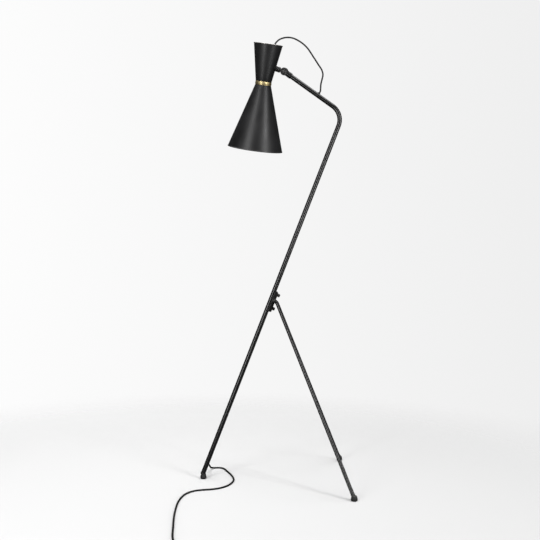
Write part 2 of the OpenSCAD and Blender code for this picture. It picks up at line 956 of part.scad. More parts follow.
module lead_head_side() {
    inner = [head_pt([-head_off, 0, ring_foot_z - sheet - nipple_down]), lead_start];
    color("#101010") {
        swept_cord(lead_path, lead_r, 10, 0, lead_head_spans * lead_step);
        swept_cord(inner, lead_r - snug, 10);
    }
}

module lead_arm_side() {
    inner = [lead_end, lead_end - (grommet_lip + pole_wall + 1) * arm_up];
    color("#101010") {
        swept_cord(lead_path, lead_r, 10, lead_head_spans * lead_step);
        swept_cord(inner, lead_r - snug, 10);
    }
}

// Mains cord on the floor, up to the foot switch
mains_start = [
    pole_x0 + mains_exit_s * sin(pole_tilt),
    pole_r + grommet_lip,
    mains_exit_s * cos(pole_tilt)
];
switch_in_x = switch_x - switch_l / 2;
switch_out_x = switch_x + switch_l / 2;

module mains_cord() {
    path = concat(
        [mains_start, mains_start + [0, 8, 0]],
        mains_route,
        [[switch_in_x, line_y, switch_z]]
    );
    inner = [mains_start - [0, grommet_lip + pole_wall + 1, 0], mains_start];
    color("#101010") {
        swept_cord(curve(path, 2), mains_r, 10);
        swept_cord(inner, mains_r - snug, 10);
    }
}

// The cord from the switch to the coil, and from the coil to the plug
module mains_tail() {
    from_switch = [
        [switch_out_x, line_y, switch_z],
        [switch_out_x + 20, line_y, switch_z - 2],
        [coil_x - 40, line_y, mains_r],
        [coil_x - coil_reach, line_y, mains_r]
    ];
    to_plug = [
        [coil_x + coil_reach, line_y, coil_h - mains_r],
        [coil_x + 40, line_y, coil_h - mains_r],
        [plug_x - relief_l, line_y, plug_h / 2]
    ];
    color("#101010") {
        swept_cord(curve(from_switch, 2), mains_r, 10);
        swept_cord(curve(to_plug, 2), mains_r, 10);
    }
}

module mains_coil() {
    color("#101010")
        translate([coil_x, coil_y, 0])
            rotate_extrude()
                translate([coil_in, 0])
                    square([2 * coil_half, coil_h]);
}

// Strap round the coil's far side
module coil_tie() {
    color("#1a1a1a")
        translate([coil_x - tie_w / 2, coil_y - coil_r, 0])
            difference() {
                translate([0, -coil_half - tie_t, 0])
                    cube([tie_w, 2 * (coil_half + tie_t), coil_h + tie_t]);
                translate([-1, -coil_half - 0.5, -1])
                    cube([tie_w + 2, 2 * coil_half + 1, coil_h + 1]);
            }
}

module switch_outline(r) {
    half = switch_l / 2 - 12 - switch_w / 2;
    square([2 * half, 2 * r], center = true);
    for (side = [-1, 1])
        translate([side * half, 0]) circle(r);
}

// Lower half of the foot switch's case, with both cord sleeves
module switch_base() {
    r = switch_w / 2;
    color("#171717")
        translate([switch_x, line_y, 0])
            difference() {
                union() {
                    linear_extrude(height = switch_z) switch_outline(r);
                    for (side = [0, 180])
                        rotate([0, 0, side])
                            translate([switch_l / 2, 0, switch_z])
                                rotate([0, -90, 0])
                                    cylinder(r1 = mains_r + 1.2, r2 = mains_r + 3, h = 20);
                }
                translate([0, 0, switch_z]) linear_extrude(height = 40) switch_outline(r + 0.01);
                translate([0, 0, 2]) linear_extrude(height = 40) switch_outline(r - 2);
                for (side = [-1, 1])
                    translate([side * (switch_l / 2 - 12 - r * 0.55), 0, 2 - 3])
                        cylinder(d = 3, h = 6);
            }
}

module switch_lid() {
    r = switch_w / 2;
    color("#171717")
        translate([switch_x, line_y, 0])
            difference() {
                union() {
                    translate([0, 0, switch_z])
                        linear_extrude(height = switch_h - switch_z - 3) switch_outline(r);
                    translate([0, 0, switch_z])
                        linear_extrude(height = switch_h - switch_z) switch_outline(r - 2.5);
                }
                translate([0, 0, switch_z - 1])
                    linear_extrude(height = switch_h - switch_z - 1) switch_outline(r - 4.5);
                cylinder(d = button_d + 2 * gap, h = 60);
                for (side = [0, 180])
                    rotate([0, 0, side])
                        translate([switch_l / 2, 0, switch_z])
                            rotate([0, -90, 0])
                                cylinder(r1 = mains_r + 1.22, r2 = mains_r + 3.02, h = 20);
            }
}

// Two screws that close the switch's case from below
module switch_screws() {
    color("#8a8a86")
        translate([switch_x, line_y, 0])
            for (side = [-1, 1])
                translate([side * (switch_l / 2 - 12 - switch_w / 2 * 0.55), 0, 0.4])
                    cylinder(d = 2.9, h = 6);
}

// Round button, pressed with the foot and lifted by its spring
module switch_button() {
    top = switch_h + button_out;
    color("#262626")
        translate([switch_x, line_y, 0]) {
            cylinder_from(switch_h - 6, top - 1.5, button_d / 2);
            cylinder_from(switch_h - 6, top, button_d / 2 - 1.5);
            cylinder_from(5 + button_travel, switch_h - 6, 4);
        }
}

module plug_body() {
    color("#171717")
        translate([plug_x, line_y, plug_h / 2])
            difference() {
                union() {
                    rotate([0, 90, 0])
                        linear_extrude(height = plug_l)
                            union() {
                                square([plug_h, plug_w - plug_h], center = true);
                                for (side = [-1, 1])
                                    translate([0, side * (plug_w - plug_h) / 2])
                                        circle(plug_h / 2);
                            }
                    translate([-relief_l, 0, 0])
                        rotate([0, 90, 0])
                            cylinder(r1 = mains_r + 0.8, r2 = mains_r + 3, h = relief_l + 1);
                }
                for (side = [-1, 1])
                    translate([plug_l - 6, side * blade_gap / 2 - blade_t / 2 - snug, -blade_w / 2 - snug])
                        cube([7, blade_t + 2 * snug, blade_w + 2 * snug]);
            }
}

// Two flat blades, side by side
module plug_blades() {
    color("#c9a85a")
        translate([plug_x, line_y, plug_h / 2])
            for (side = [-1, 1])
                translate([plug_l - 6, side * blade_gap / 2 - blade_t / 2, -blade_w / 2])
                    cube([6 + blade_l, blade_t, blade_w]);
}

foot_front();
pole_tube();
pole_bend();
arm_tube();
inner_lead();
mains_grommet();
lead_grommet();
arm_ferrule();
leg_bracket();
bracket_screws();
pivot_bolt();
leg_right();
leg_right_foot();
leg_left();
leg_left_foot();
pivot_nuts();
swivel_fork();
swivel_nut();
clamp_screw();
clamp_nut();
head_tongue();
head_boss();
boss_screw();
shade_upper();
neck_ring();
shade_lower();
holder_nipple();
nipple_nut();
cord_grip();
holder_cap();
holder_shell();
holder_contact();
bulb_base();
bulb_glass();
lead_arm_side();
lead_head_side();
mains_cord();
mains_coil();
coil_tie();
mains_tail();
switch_base();
switch_lid();
switch_screws();
switch_button();
plug_body();
plug_blades();
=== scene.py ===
# %% [markdown]
# # A tripod floor lamp with a two-cone shade
# The lamp is a leaning steel tube, bent back at the top into a short arm. Two folding rear legs hold
# it up, and a shade of two black cones with a brass ring hangs from a knuckle at the arm's end.
# The working model arrives as a fixed frame: every part already has its place, size and joint.
# This lesson keeps those sizes and makes the surfaces, the small details and the light.

import json
import math

import bmesh
import bpy
from mathutils import Matrix, Vector


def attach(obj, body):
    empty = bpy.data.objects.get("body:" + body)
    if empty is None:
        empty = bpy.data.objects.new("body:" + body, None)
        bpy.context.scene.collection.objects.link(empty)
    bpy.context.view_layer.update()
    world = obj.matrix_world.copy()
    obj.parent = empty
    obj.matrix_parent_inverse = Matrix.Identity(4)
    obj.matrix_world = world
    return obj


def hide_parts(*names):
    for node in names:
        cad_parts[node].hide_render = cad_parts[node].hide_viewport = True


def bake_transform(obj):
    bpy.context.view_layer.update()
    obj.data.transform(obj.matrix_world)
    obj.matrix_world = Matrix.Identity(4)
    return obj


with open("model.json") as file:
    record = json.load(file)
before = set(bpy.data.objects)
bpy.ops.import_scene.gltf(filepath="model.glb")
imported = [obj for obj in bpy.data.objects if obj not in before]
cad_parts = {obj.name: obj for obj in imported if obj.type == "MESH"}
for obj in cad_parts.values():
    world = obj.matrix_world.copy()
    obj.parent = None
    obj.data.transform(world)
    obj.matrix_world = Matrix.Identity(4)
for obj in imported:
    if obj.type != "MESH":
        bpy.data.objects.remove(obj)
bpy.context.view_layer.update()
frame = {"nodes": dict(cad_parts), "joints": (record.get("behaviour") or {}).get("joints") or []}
scene = bpy.context.scene
joints = {joint["name"]: joint for joint in frame["joints"]}

# %% [markdown]
# ## Sizes
# A lamp maker works from a few sizes: the tube, the lean of the pole, the slope of the arm, the cones.
# Everything else here is worked out from them, in metres, and the joints give the places that the
# working model already settled, such as the knuckle at the arm's end.

# %% Driving sizes and places
pole_lean = math.radians(21.3)
arm_slope = math.radians(35.6)
pole_r = 0.0085
leg_r = 0.0065
bend_h = 1.338
bend_r = 0.062
arm_l = 0.266
head_tilt = math.radians(8.7)
head_roll = math.radians(15.6)
head_off = 0.0716
lead_d = 0.0058
mains_d = 0.0062
lead_hole_at, mains_hole_at = 0.150, 0.050
head_rise, sheet, nipple_nut_h, grip_h = 0.0455, 0.0012, 0.004, 0.015

knuckle = Vector(joints["head_tilt"]["pos_m"])
leg_pivot = Vector(joints["right_leg_fold"]["pos_m"])
arm_dir = Vector(joints["head_swivel"]["axis"]).normalized()
arm_up = Vector((-arm_dir.z, 0, arm_dir.x))
pole_dir = Vector((math.sin(pole_lean), 0, math.cos(pole_lean)))
pole_out = Vector((math.cos(pole_lean), 0, -math.sin(pole_lean)))
pole_foot = Vector((-0.023 * math.tan(pole_lean), 0, 0))
elbow = knuckle + arm_l * arm_dir
print("knuckle", knuckle[:], "elbow", elbow[:])

# %% Frames that the pieces are made in
def moved(point):
    return Matrix.Translation(Vector(point))


def turned(angle, axis):
    return Matrix.Rotation(angle, 4, axis)


def on_pole(distance, out=0.0):
    """Z along the pole, X away from its rear side."""
    return moved(pole_foot + distance * pole_dir + out * pole_out) @ turned(pole_lean, "Y")


def on_arm(distance):
    """Z down the arm, from the knuckle."""
    return moved(knuckle + distance * arm_dir) @ turned(math.pi / 2 + arm_slope, "Y")


on_swivel = moved(knuckle) @ turned(head_roll, arm_dir) @ turned(math.pi / 2 + arm_slope, "Y")
on_head = moved(knuckle) @ turned(head_roll, arm_dir) @ turned(head_tilt, "Y")
on_shade = on_head @ moved((-head_off, 0, 0))


def up_shade(height):
    """Z along the shade's axis, from that height above the knuckle's level."""
    return on_shade @ moved((0, 0, height))


print("shade axis points", (on_shade.to_3x3() @ Vector((0, 0, 1)))[:])

# %% [markdown]
# ## Camera
# A product shot of a tall lamp is taken from a few metres away with a normal lens, level, at about
# half of the lamp's height, so that its uprights stay true.

# %% Camera
camera = bpy.data.objects.new("camera", bpy.data.cameras.new("camera"))
camera.data.lens = 50
camera.data.sensor_width = 36
camera.location = (0.244, -2.75, 0.765)
camera.rotation_euler = (math.pi / 2, 0, 0)
scene.collection.objects.link(camera)
scene.camera = camera
print("camera at", camera.location[:])

# %% [markdown]
# ## Cords
# A cord is a fixed length of something that bends. Its line is a smooth curve through a few chosen
# points, and the tube is one ring of points that is extruded from station to station, turning with
# the line. That keeps the rings square to the line without a twist, and gives each ring its own
# distance along the cord, which is stored as a UV map for the finish.

# %% A smooth line and a swept tube
def smooth_line(points, steps):
    """A curve through the points, whose pull at each one is as long as the span beside it."""
    points = [Vector(p) for p in points]
    spans = [b - a for a, b in zip(points, points[1:])]
    pulls = [spans[0].normalized()]
    pulls += [(a.normalized() + b.normalized()).normalized() for a, b in zip(spans, spans[1:])]
    pulls += [spans[-1].normalized()]
    line = []
    for i, span in enumerate(spans):
        a, b = points[i], points[i + 1]
        u, v = pulls[i] * span.length, pulls[i + 1] * span.length
        for j in range(steps):
            t = j / steps
            line.append(
                a * (2 * t**3 - 3 * t**2 + 1) + u * (t**3 - 2 * t**2 + t)
                + b * (3 * t**2 - 2 * t**3) + v * (t**3 - t**2)
            )
    return line + [points[-1]]


def line_length(line):
    return sum((b - a).length for a, b in zip(line, line[1:]))


def sweep(line, radius, sides=20):
    """A bmesh tube along the line, closed at both ends, with a UV map of turn and distance."""
    bm = bmesh.new()
    place_on = {}
    aims = [(line[1] - line[0]).normalized()]
    aims += [(b - a).normalized() for a, b in zip(line, line[2:])]
    aims += [(line[-1] - line[-2]).normalized()]
    first = moved(line[0]) @ aims[0].to_track_quat("Z", "Y").to_matrix().to_4x4()
    side = first.to_3x3() @ Vector((1, 0, 0))

    def note(ring, i, travelled):
        for v in ring:
            out = v.co - line[i]
            turn = math.atan2(out.dot(aims[i].cross(side)), out.dot(side)) / math.tau
            place_on[v] = (turn % 1.0, travelled)

    ring = bmesh.ops.create_circle(bm, segments=sides, radius=radius, matrix=first)["verts"]
    edges = list(bm.edges)
    rims, travelled = [edges], 0.0
    note(ring, 0, travelled)
    for i in range(len(line) - 1):
        step = line[i + 1] - line[i]
        made = bmesh.ops.extrude_edge_only(bm, edges=edges)["geom"]
        ring = {v for v in made if isinstance(v, bmesh.types.BMVert)}
        edges = [e for e in made if isinstance(e, bmesh.types.BMEdge) and ring.issuperset(e.verts)]
        bmesh.ops.translate(bm, vec=step, verts=list(ring))
        bend = aims[i].rotation_difference(aims[i + 1])
        bmesh.ops.rotate(bm, cent=line[i + 1], matrix=bend.to_matrix(), verts=list(ring))
        side.rotate(bend)
        travelled += step.length
        note(ring, i + 1, travelled)
    rims.append(edges)
    for rim in rims:
        bmesh.ops.edgeloop_fill(bm, edges=rim)
    bmesh.ops.recalc_face_normals(bm, faces=bm.faces)
    run = bm.loops.layers.uv.new("run")
    for face in bm.faces:
        turns = [place_on[loop.vert][0] for loop in face.loops]
        wraps = max(turns) - min(turns) > 0.5
        for loop, turn in zip(face.loops, turns):
            loop[run].uv = (turn + (1 if wraps and turn < 0.5 else 0), place_on[loop.vert][1])
    return bm


SMOOTH_ANGLE = math.radians(38)


def piece(name, bm, place=None, sharp=SMOOTH_ANGLE):
    """Makes an object of the bmesh, smooth shaded but for its sharp edges, at the origin."""
    if place is not None:
        bmesh.ops.transform(bm, matrix=place, verts=bm.verts)
    for face in bm.faces:
        face.smooth = True
    for edge in bm.edges:
        edge.smooth = edge.is_manifold and edge.calc_face_angle(0) < sharp
    mesh = bpy.data.meshes.new(name)
    bm.to_mesh(mesh)
    bm.free()
    made = bpy.data.objects.new(name, mesh)
    scene.collection.objects.link(made)
    print(f"{name}: {len(mesh.polygons)} faces")
    return made

# %% [markdown]
# ### The lead over the shade's rim
# The lead comes out of the grip on the lampholder, stands up out of the open cone, and falls over in
# one loop to a hole in the arm. The loop lets the head turn and tilt. Two joints lie under it, so it
# is made as two pieces that meet in the middle: one runs from the lampholder over the rim, the other
# on to the arm.

# %% Lead
grip_top = head_rise - sheet - nipple_nut_h - grip_h
lead_start = on_shade @ Vector((0, 0, -grip_top))
lead_hole = knuckle + lead_hole_at * arm_dir
lead_end = lead_hole + (pole_r + 0.002) * arm_up
lead_middle = (0.378, -0.001, 1.582)
lead_head_route = [
    (0.246, -0.002, 1.540), (0.262, -0.009, 1.590), (0.276, -0.008, 1.606), (0.298, -0.006, 1.615),
    (0.324, -0.004, 1.615), (0.352, -0.002, 1.603),
]
lead_arm_route = [
    (0.404, 0, 1.545), (0.422, 0, 1.517), (0.434, 0, 1.498), (0.438, 0, 1.481),
    (0.4345, 0, 1.463), (0.4305, 0, 1.446), (0.4295, 0, 1.431),
]
LEAD_STEPS = 8
lead_stations = [lead_start, on_shade @ Vector((0, 0, 0.014 - grip_top)), *lead_head_route]
lead_line = smooth_line(
    [*lead_stations, lead_middle, *lead_arm_route, lead_end + 0.006 * arm_up, lead_end], LEAD_STEPS
)
meeting = len(lead_stations) * LEAD_STEPS
head_half = [lead_start - 0.012 * (on_shade.to_3x3() @ Vector((0, 0, 1)))] + lead_line[: meeting + 1]
arm_half = lead_line[meeting:] + [lead_end - 0.007 * arm_up]
lead_upper = piece("lead_upper", sweep(head_half, lead_d / 2))
lead_lower = piece("lead_lower", sweep(arm_half, lead_d / 2))
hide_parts("lead_head_side")
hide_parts("lead_arm_side")
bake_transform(lead_upper)
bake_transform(lead_lower)
print("lead halves", round(line_length(head_half), 3), round(line_length(arm_half), 3))

# %% [markdown]
# ### The mains cord
# It leaves a hole in the back of the pole just above the foot, drops to the floor and runs in a loose
# loop beside the foot. Further on lie the foot switch, the spare length and the plug. The spare length
# is wound into a small coil: three turns, on two lanes and two layers. A turn changes its lane or its
# layer just before it would meet its own start, as a hand lays it, and a loop works out the points.

# %% Mains cord
line_y = -0.748
switch_x, switch_z, switch_l = 0.150, 0.008, 0.078
coil_x, coil_r = 0.292, 0.030
plug_x, plug_h, relief_l = 0.392, 0.016, 0.024
mains_r = mains_d / 2
mains_out = pole_foot + mains_hole_at * pole_dir
mains_start = mains_out + Vector((0, pole_r + 0.002, 0))
floor_z = mains_r
mains_route = [
    (0.011, 0.044, 0.0435), (0.014, 0.073, 0.033), (0.0165, 0.099, 0.019), (0.018, 0.119, 0.0095),
    (0.023, 0.1305, 0.0054), (0.0322, 0.138, 0.0034), (0.0435, 0.1405, floor_z),
    (0.057, 0.137, floor_z), (0.067, 0.127, floor_z), (0.083, 0.087, floor_z),
    (0.100, 0.039, floor_z), (0.112, -0.022, floor_z), (0.105, -0.073, floor_z),
    (0.088, -0.109, floor_z), (0.064, -0.133, floor_z), (0.038, -0.145, floor_z),
    (0.010, -0.151, floor_z), (-0.018, -0.164, floor_z), (-0.042, -0.196, floor_z),
    (-0.056, -0.260, floor_z), (-0.056, -0.380, floor_z), (-0.044, -0.520, floor_z),
    (-0.028, -0.640, floor_z), (-0.004, -0.704, floor_z), (0.036, -0.740, floor_z),
    (0.074, line_y, 0.005),
]


def eased(value):
    value = min(max(value, 0.0), 1.0)
    return value * value * (3 - 2 * value)


def coil_line(turns, stations_per_turn):
    """Clockwise from the side nearest the lamp. The lane and the layer change over a sixth of a turn."""
    change = 1 / 6
    line = []
    for i in range(int(turns * stations_per_turn) + 1):
        turn = i / stations_per_turn
        inner = eased((turn - 2 / 3) / change) - eased((turn - 2.5) / change)
        upper = eased((turn - 1.5) / change)
        radius = coil_r + mains_r - inner * mains_d
        angle = math.pi / 2 - turn * math.tau
        line.append(Vector((
            coil_x + radius * math.cos(angle),
            line_y - coil_r + radius * math.sin(angle),
            mains_r + upper * mains_d,
        )))
    return line


COIL_TURNS = 3
to_switch = [
    mains_start - Vector((0, 0.007, 0)), mains_start, mains_start + Vector((0, 0.008, 0)),
    *mains_route, (switch_x - switch_l / 2, line_y, switch_z),
]
past_switch = [
    (switch_x, line_y, switch_z), (switch_x + switch_l / 2, line_y, switch_z),
    (switch_x + switch_l / 2 + 0.020, line_y + 0.0005, switch_z - 0.002),
    (coil_x - 0.040, line_y + mains_r * 0.7, mains_r),
]
coil = coil_line(COIL_TURNS, 28)
to_plug = [
    (coil_x + 0.030, line_y + mains_r, mains_r + mains_d), (plug_x - relief_l - 0.012, line_y, plug_h / 2),
    (plug_x - relief_l, line_y, plug_h / 2), (plug_x, line_y, plug_h / 2),
]
mains_line = smooth_line([*to_switch, *past_switch, coil[0]], 6) + coil[1:-1]
mains_line += smooth_line([coil[-1], *to_plug], 6)
mains_flex = piece("mains_flex", sweep(mains_line, mains_r, 16))
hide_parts("mains_cord", "mains_coil", "mains_tail")
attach(mains_flex, "stand")
print("mains cord", round(line_length(mains_line), 3), "m, coil", round(line_length(coil), 3), "m")

# %% [markdown]
# ## Finishes
# Each finish is a Principled shader whose colour, roughness and bump change over the surface by
# patterns of real size. Three effects come back in most of them, so each is a node group with its own
# inputs: the fine skin of a sprayed or moulded surface, the worn and thinned coat on an edge, and the
# little dust that settles on what faces up. A group puts out masks and heights, and each finish
# mixes them in by its own amounts.

# %% Node helpers
def add(tree, kind, links=(), **settings):
    """A node of that kind, with its settings, and its inputs linked or set."""
    made = tree.nodes.new(kind)
    for key, value in settings.items():
        setattr(made, key, value)
    for key, value in dict(links).items():
        socket = made.inputs[key]
        if isinstance(value, bpy.types.NodeSocket):
            tree.links.new(value, socket)
        else:
            socket.default_value = value
    return made


def math_node(tree, operation, *values, clamp=False):
    links = dict(enumerate(values))
    return add(tree, "ShaderNodeMath", links, operation=operation, use_clamp=clamp).outputs[0]


def mix_colour(tree, share, low, high):
    made = add(tree, "ShaderNodeMix", {0: share, 6: low, 7: high}, data_type="RGBA")
    return made.outputs[2]


def spread_value(tree, value, low, high, to_low, to_high):
    links = {0: value, 1: low, 2: high, 3: to_low, 4: to_high}
    return add(tree, "ShaderNodeMapRange", links, clamp=True).outputs[0]


def new_group(name, inputs, outputs):
    tree = bpy.data.node_groups.new(name, "ShaderNodeTree")
    for title, kind, value in inputs:
        socket = tree.interface.new_socket(title, in_out="INPUT", socket_type=kind)
        if value is not None:
            socket.default_value = value
    for title in outputs:
        tree.interface.new_socket(title, in_out="OUTPUT", socket_type="NodeSocketFloat")
    return tree, tree.nodes.new("NodeGroupInput"), tree.nodes.new("NodeGroupOutput")


def place_group(tree, group, **values):
    links = {title.replace("_", " "): value for title, value in values.items()}
    return add(tree, "ShaderNodeGroup", links, node_tree=group).outputs


def noise(tree, place, scale, detail, roughness=0.5):
    """Soft patches, as many to the metre as the scale says."""
    links = {"Vector": place, "Scale": scale, "Detail": detail, "Roughness": roughness}
    return add(tree, "ShaderNodeTexNoise", links).outputs[0]


def new_material(name):
    material = bpy.data.materials.new(name)
    material.use_nodes = True
    return material, material.node_tree, material.node_tree.nodes["Principled BSDF"]


VALUE, VECTOR = "NodeSocketFloat", "NodeSocketVector"

# %% Group: fine skin
skin, skin_in, skin_out = new_group(
    "fine skin",
    [("Place", VECTOR, None), ("Ripples per metre", VALUE, 700.0), ("Stretch", VALUE, 1.0)],
    ["Height", "Cloud"],
)
stretched = add(skin, "ShaderNodeCombineXYZ", {0: 1.0, 1: 1.0, 2: skin_in.outputs["Stretch"]}).outputs[0]
skin_place = add(
    skin, "ShaderNodeVectorMath", {0: skin_in.outputs["Place"], 1: stretched}, operation="MULTIPLY"
).outputs[0]
ripples = skin_in.outputs["Ripples per metre"]
ripple = noise(skin, skin_place, ripples, 2.0)
fine = noise(skin, skin_place, math_node(skin, "MULTIPLY", ripples, 4.3), 1.0)
cloud = noise(skin, skin_in.outputs["Place"], 14.0, 4.0, 0.6)
height = math_node(skin, "MULTIPLY_ADD", fine, 0.25, ripple)
skin.links.new(height, skin_out.inputs["Height"])
skin.links.new(cloud, skin_out.inputs["Cloud"])

# %% Group: worn edge
wear, wear_in, wear_out = new_group(
    "worn edge",
    [("Place", VECTOR, None), ("Width", VALUE, 0.0006), ("Amount", VALUE, 0.5)],
    ["Worn"],
)
rounded = add(wear, "ShaderNodeBevel", {"Radius": wear_in.outputs["Width"]}, samples=4)
flat = add(wear, "ShaderNodeNewGeometry")
meets = add(
    wear, "ShaderNodeVectorMath", {0: rounded.outputs[0], 1: flat.outputs["Normal"]},
    operation="DOT_PRODUCT",
)
edge = spread_value(wear, meets.outputs["Value"], 0.97, 0.80, 0.0, 1.0)
chips = noise(wear, wear_in.outputs["Place"], 160.0, 5.0, 0.7)
broken = spread_value(wear, chips, 0.42, 0.62, 0.0, 1.0)
worn = math_node(
    wear, "MULTIPLY", math_node(wear, "MULTIPLY", edge, broken), wear_in.outputs["Amount"], clamp=True
)
wear.links.new(worn, wear_out.inputs["Worn"])

# %% Group: settled dust
dust, dust_in, dust_out = new_group(
    "settled dust", [("Place", VECTOR, None), ("Amount", VALUE, 0.2)], ["Dust"]
)
facing = add(dust, "ShaderNodeNewGeometry")
upward = add(dust, "ShaderNodeSeparateXYZ", {0: facing.outputs["Normal"]}).outputs[2]
patchy = noise(dust, dust_in.outputs["Place"], 60.0, 6.0, 0.7)
settled = math_node(
    dust, "MULTIPLY", spread_value(dust, upward, 0.25, 1.0, 0.0, 1.0),
    spread_value(dust, patchy, 0.35, 0.75, 0.2, 1.0),
)
dusty = math_node(dust, "MULTIPLY", settled, dust_in.outputs["Amount"], clamp=True)
dust.links.new(dusty, dust_out.inputs["Dust"])
print("groups:", [group.name for group in bpy.data.node_groups])

# %% [markdown]
# One recipe serves every opaque finish: a base colour that clouds over slightly, a coat that thins
# on edges to show what is under it, dust on top, and a roughness and a bump that follow the same
# patterns. What differs between paint, rubber, plastic, brass and steel is the values.

# %% The recipe for an opaque finish
def rgb(*values):
    return (*values, 1.0)


def finish(
    name, colour, shade, roughness, ripples=700.0, depth=0.00002, stretch=1.0, wear_amount=0.0,
    wear_width=0.0006, under=None, under_metal=0.0, under_rough=0.4, dust_amount=0.1,
    metal=0.0, coat=0.0, specular=0.5, place="Object", axis=None,
):
    """An opaque finish. Colour clouds towards shade, and wear shows the colour under the coat."""
    material, tree, shader = new_material(name)
    if place == "run":
        spot = add(tree, "ShaderNodeUVMap", uv_map="run").outputs[0]
    else:
        spot = add(tree, "ShaderNodeTexCoord").outputs["Object"]
    if axis is not None:
        turn_in = Vector(axis).rotation_difference(Vector((0, 0, 1))).to_euler()
        spot = add(tree, "ShaderNodeMapping", {"Vector": spot, "Rotation": turn_in}).outputs[0]
    grain = place_group(tree, skin, Place=spot, Ripples_per_metre=ripples, Stretch=stretch)
    clouding = spread_value(tree, grain["Cloud"], 0.35, 0.65, 0.0, 1.0)
    tone = mix_colour(tree, clouding, colour, shade)
    rough = spread_value(tree, grain["Cloud"], 0.3, 0.7, roughness * 0.86, roughness * 1.14)
    if wear_amount:
        edges = place_group(tree, wear, Place=spot, Width=wear_width, Amount=wear_amount)
        tone = mix_colour(tree, edges["Worn"], tone, under or shade)
        rough = spread_value(tree, edges["Worn"], 0.0, 1.0, rough, under_rough)
        if under_metal:
            tree.links.new(
                math_node(tree, "MULTIPLY", edges["Worn"], under_metal), shader.inputs["Metallic"]
            )
    if dust_amount:
        layer = place_group(tree, dust, Place=spot, Amount=dust_amount)["Dust"]
        tone = mix_colour(tree, layer, tone, DUST_COLOUR)
        rough = spread_value(tree, layer, 0.0, 1.0, rough, 0.85)
    tree.links.new(tone, shader.inputs["Base Color"])
    tree.links.new(rough, shader.inputs["Roughness"])
    bump = add(tree, "ShaderNodeBump", {"Height": grain["Height"], "Distance": depth, "Strength": 1.0})
    tree.links.new(bump.outputs[0], shader.inputs["Normal"])
    if not under_metal:
        shader.inputs["Metallic"].default_value = metal
    shader.inputs["Coat Weight"].default_value = coat
    shader.inputs["Coat Roughness"].default_value = 0.2
    shader.inputs["Specular IOR Level"].default_value = specular
    return material


DUST_COLOUR = rgb(0.34, 0.33, 0.31)
BARE_STEEL = rgb(0.42, 0.41, 0.40)

# %% [markdown]
# ### The finishes of this lamp
# The tubes and fittings are powder coated: satin black with a faint orange peel a few
# millimetres across. The cones are sprayed a little smoother outside, and warm white inside, to
# throw the light.
# The upper rim is bare light metal, a painted highlight that lays a light line along the top of the shade.
# The neck ring is turned brass, so its grain runs round it. Rubber, cord jacket and moulded plastic
# are matte and scatter the light in fine specks.

# %% Finishes
shade_axis = on_shade.to_3x3() @ Vector((0, 0, 1))
tube_paint = finish(
    "black tube paint", rgb(0.0050, 0.0050, 0.0052), rgb(0.007, 0.007, 0.007), 0.24, ripples=300,
    depth=0.000004, dust_amount=0.01,
)
fitting_paint = finish(
    "black fitting paint", rgb(0.0045, 0.0045, 0.0045), rgb(0.008, 0.008, 0.008), 0.30, ripples=400,
    depth=0.000004, wear_amount=0.20, under=rgb(0.03, 0.03, 0.03), dust_amount=0.012, specular=0.3,
)
shade_paint = finish(
    "black shade paint", rgb(0.0065, 0.0065, 0.0068), rgb(0.009, 0.009, 0.0095), 0.42, ripples=400,
    depth=0.000005, wear_amount=0.3, under=rgb(0.09, 0.09, 0.09), dust_amount=0.012, specular=0.41,
)
# Painted highlight: light bare metal on the upper cone's rim gives a light line along the shade's top.
rim_highlight_metal = finish(
    "rim highlight metal", rgb(0.40, 0.39, 0.37), rgb(0.26, 0.25, 0.24), 0.34, ripples=1400, depth=0.00001,
    dust_amount=0.02, metal=0.9,
)
inner_enamel = finish(
    "warm white enamel", rgb(0.80, 0.775, 0.71), rgb(0.76, 0.735, 0.67), 0.55, ripples=200,
    depth=0.000003, dust_amount=0.05,
)
turned_brass = finish(
    "turned brass", rgb(0.50, 0.41, 0.22), rgb(0.42, 0.335, 0.165), 0.46, ripples=500, depth=0.00001,
    stretch=9.0, wear_amount=0.4, under=rgb(0.60, 0.48, 0.26), under_rough=0.34, dust_amount=0.02,
    metal=1.0, axis=shade_axis,
)
dark_steel = finish(
    "blackened steel", rgb(0.009, 0.0088, 0.0086), rgb(0.016, 0.0156, 0.015), 0.38, ripples=1500,
    depth=0.00001, wear_amount=0.14, under=BARE_STEEL, under_metal=0.8, under_rough=0.3,
    dust_amount=0.02,
)
bright_steel = finish(
    "bright steel", rgb(0.62, 0.61, 0.59), rgb(0.50, 0.49, 0.47), 0.28, ripples=1800, depth=0.000008,
    dust_amount=0.03, metal=1.0,
)
blade_brass = finish(
    "stamped brass", rgb(0.78, 0.60, 0.30), rgb(0.66, 0.49, 0.22), 0.30, ripples=1500,
    depth=0.00001, dust_amount=0.02, metal=1.0,
)
foot_rubber = finish(
    "foot rubber", rgb(0.009, 0.009, 0.009), rgb(0.016, 0.016, 0.016), 0.62, ripples=1600,
    depth=0.00004, wear_amount=0.7, wear_width=0.0012, under=rgb(0.055, 0.054, 0.052),
    under_rough=0.8, dust_amount=0.18, specular=0.35,
)
cord_jacket = finish(
    "cord jacket", rgb(0.006, 0.006, 0.006), rgb(0.009, 0.009, 0.009), 0.6, ripples=260,
    depth=0.00005, dust_amount=0.01, specular=0.25, place="run",
)
inner_cord = finish(
    "hidden cord jacket", rgb(0.012, 0.012, 0.012), rgb(0.020, 0.020, 0.020), 0.42, dust_amount=0.0,
)
black_plastic = finish(
    "moulded black plastic", rgb(0.014, 0.014, 0.015), rgb(0.020, 0.020, 0.021), 0.50, ripples=2600,
    depth=0.00003, wear_amount=0.5, under=rgb(0.06, 0.06, 0.06), under_rough=0.35, dust_amount=0.14,
)
key_plastic = finish(
    "key plastic", rgb(0.030, 0.030, 0.031), rgb(0.040, 0.040, 0.041), 0.36, ripples=1800,
    depth=0.00002, wear_amount=0.6, under=rgb(0.09, 0.09, 0.09), under_rough=0.25, dust_amount=0.10,
)
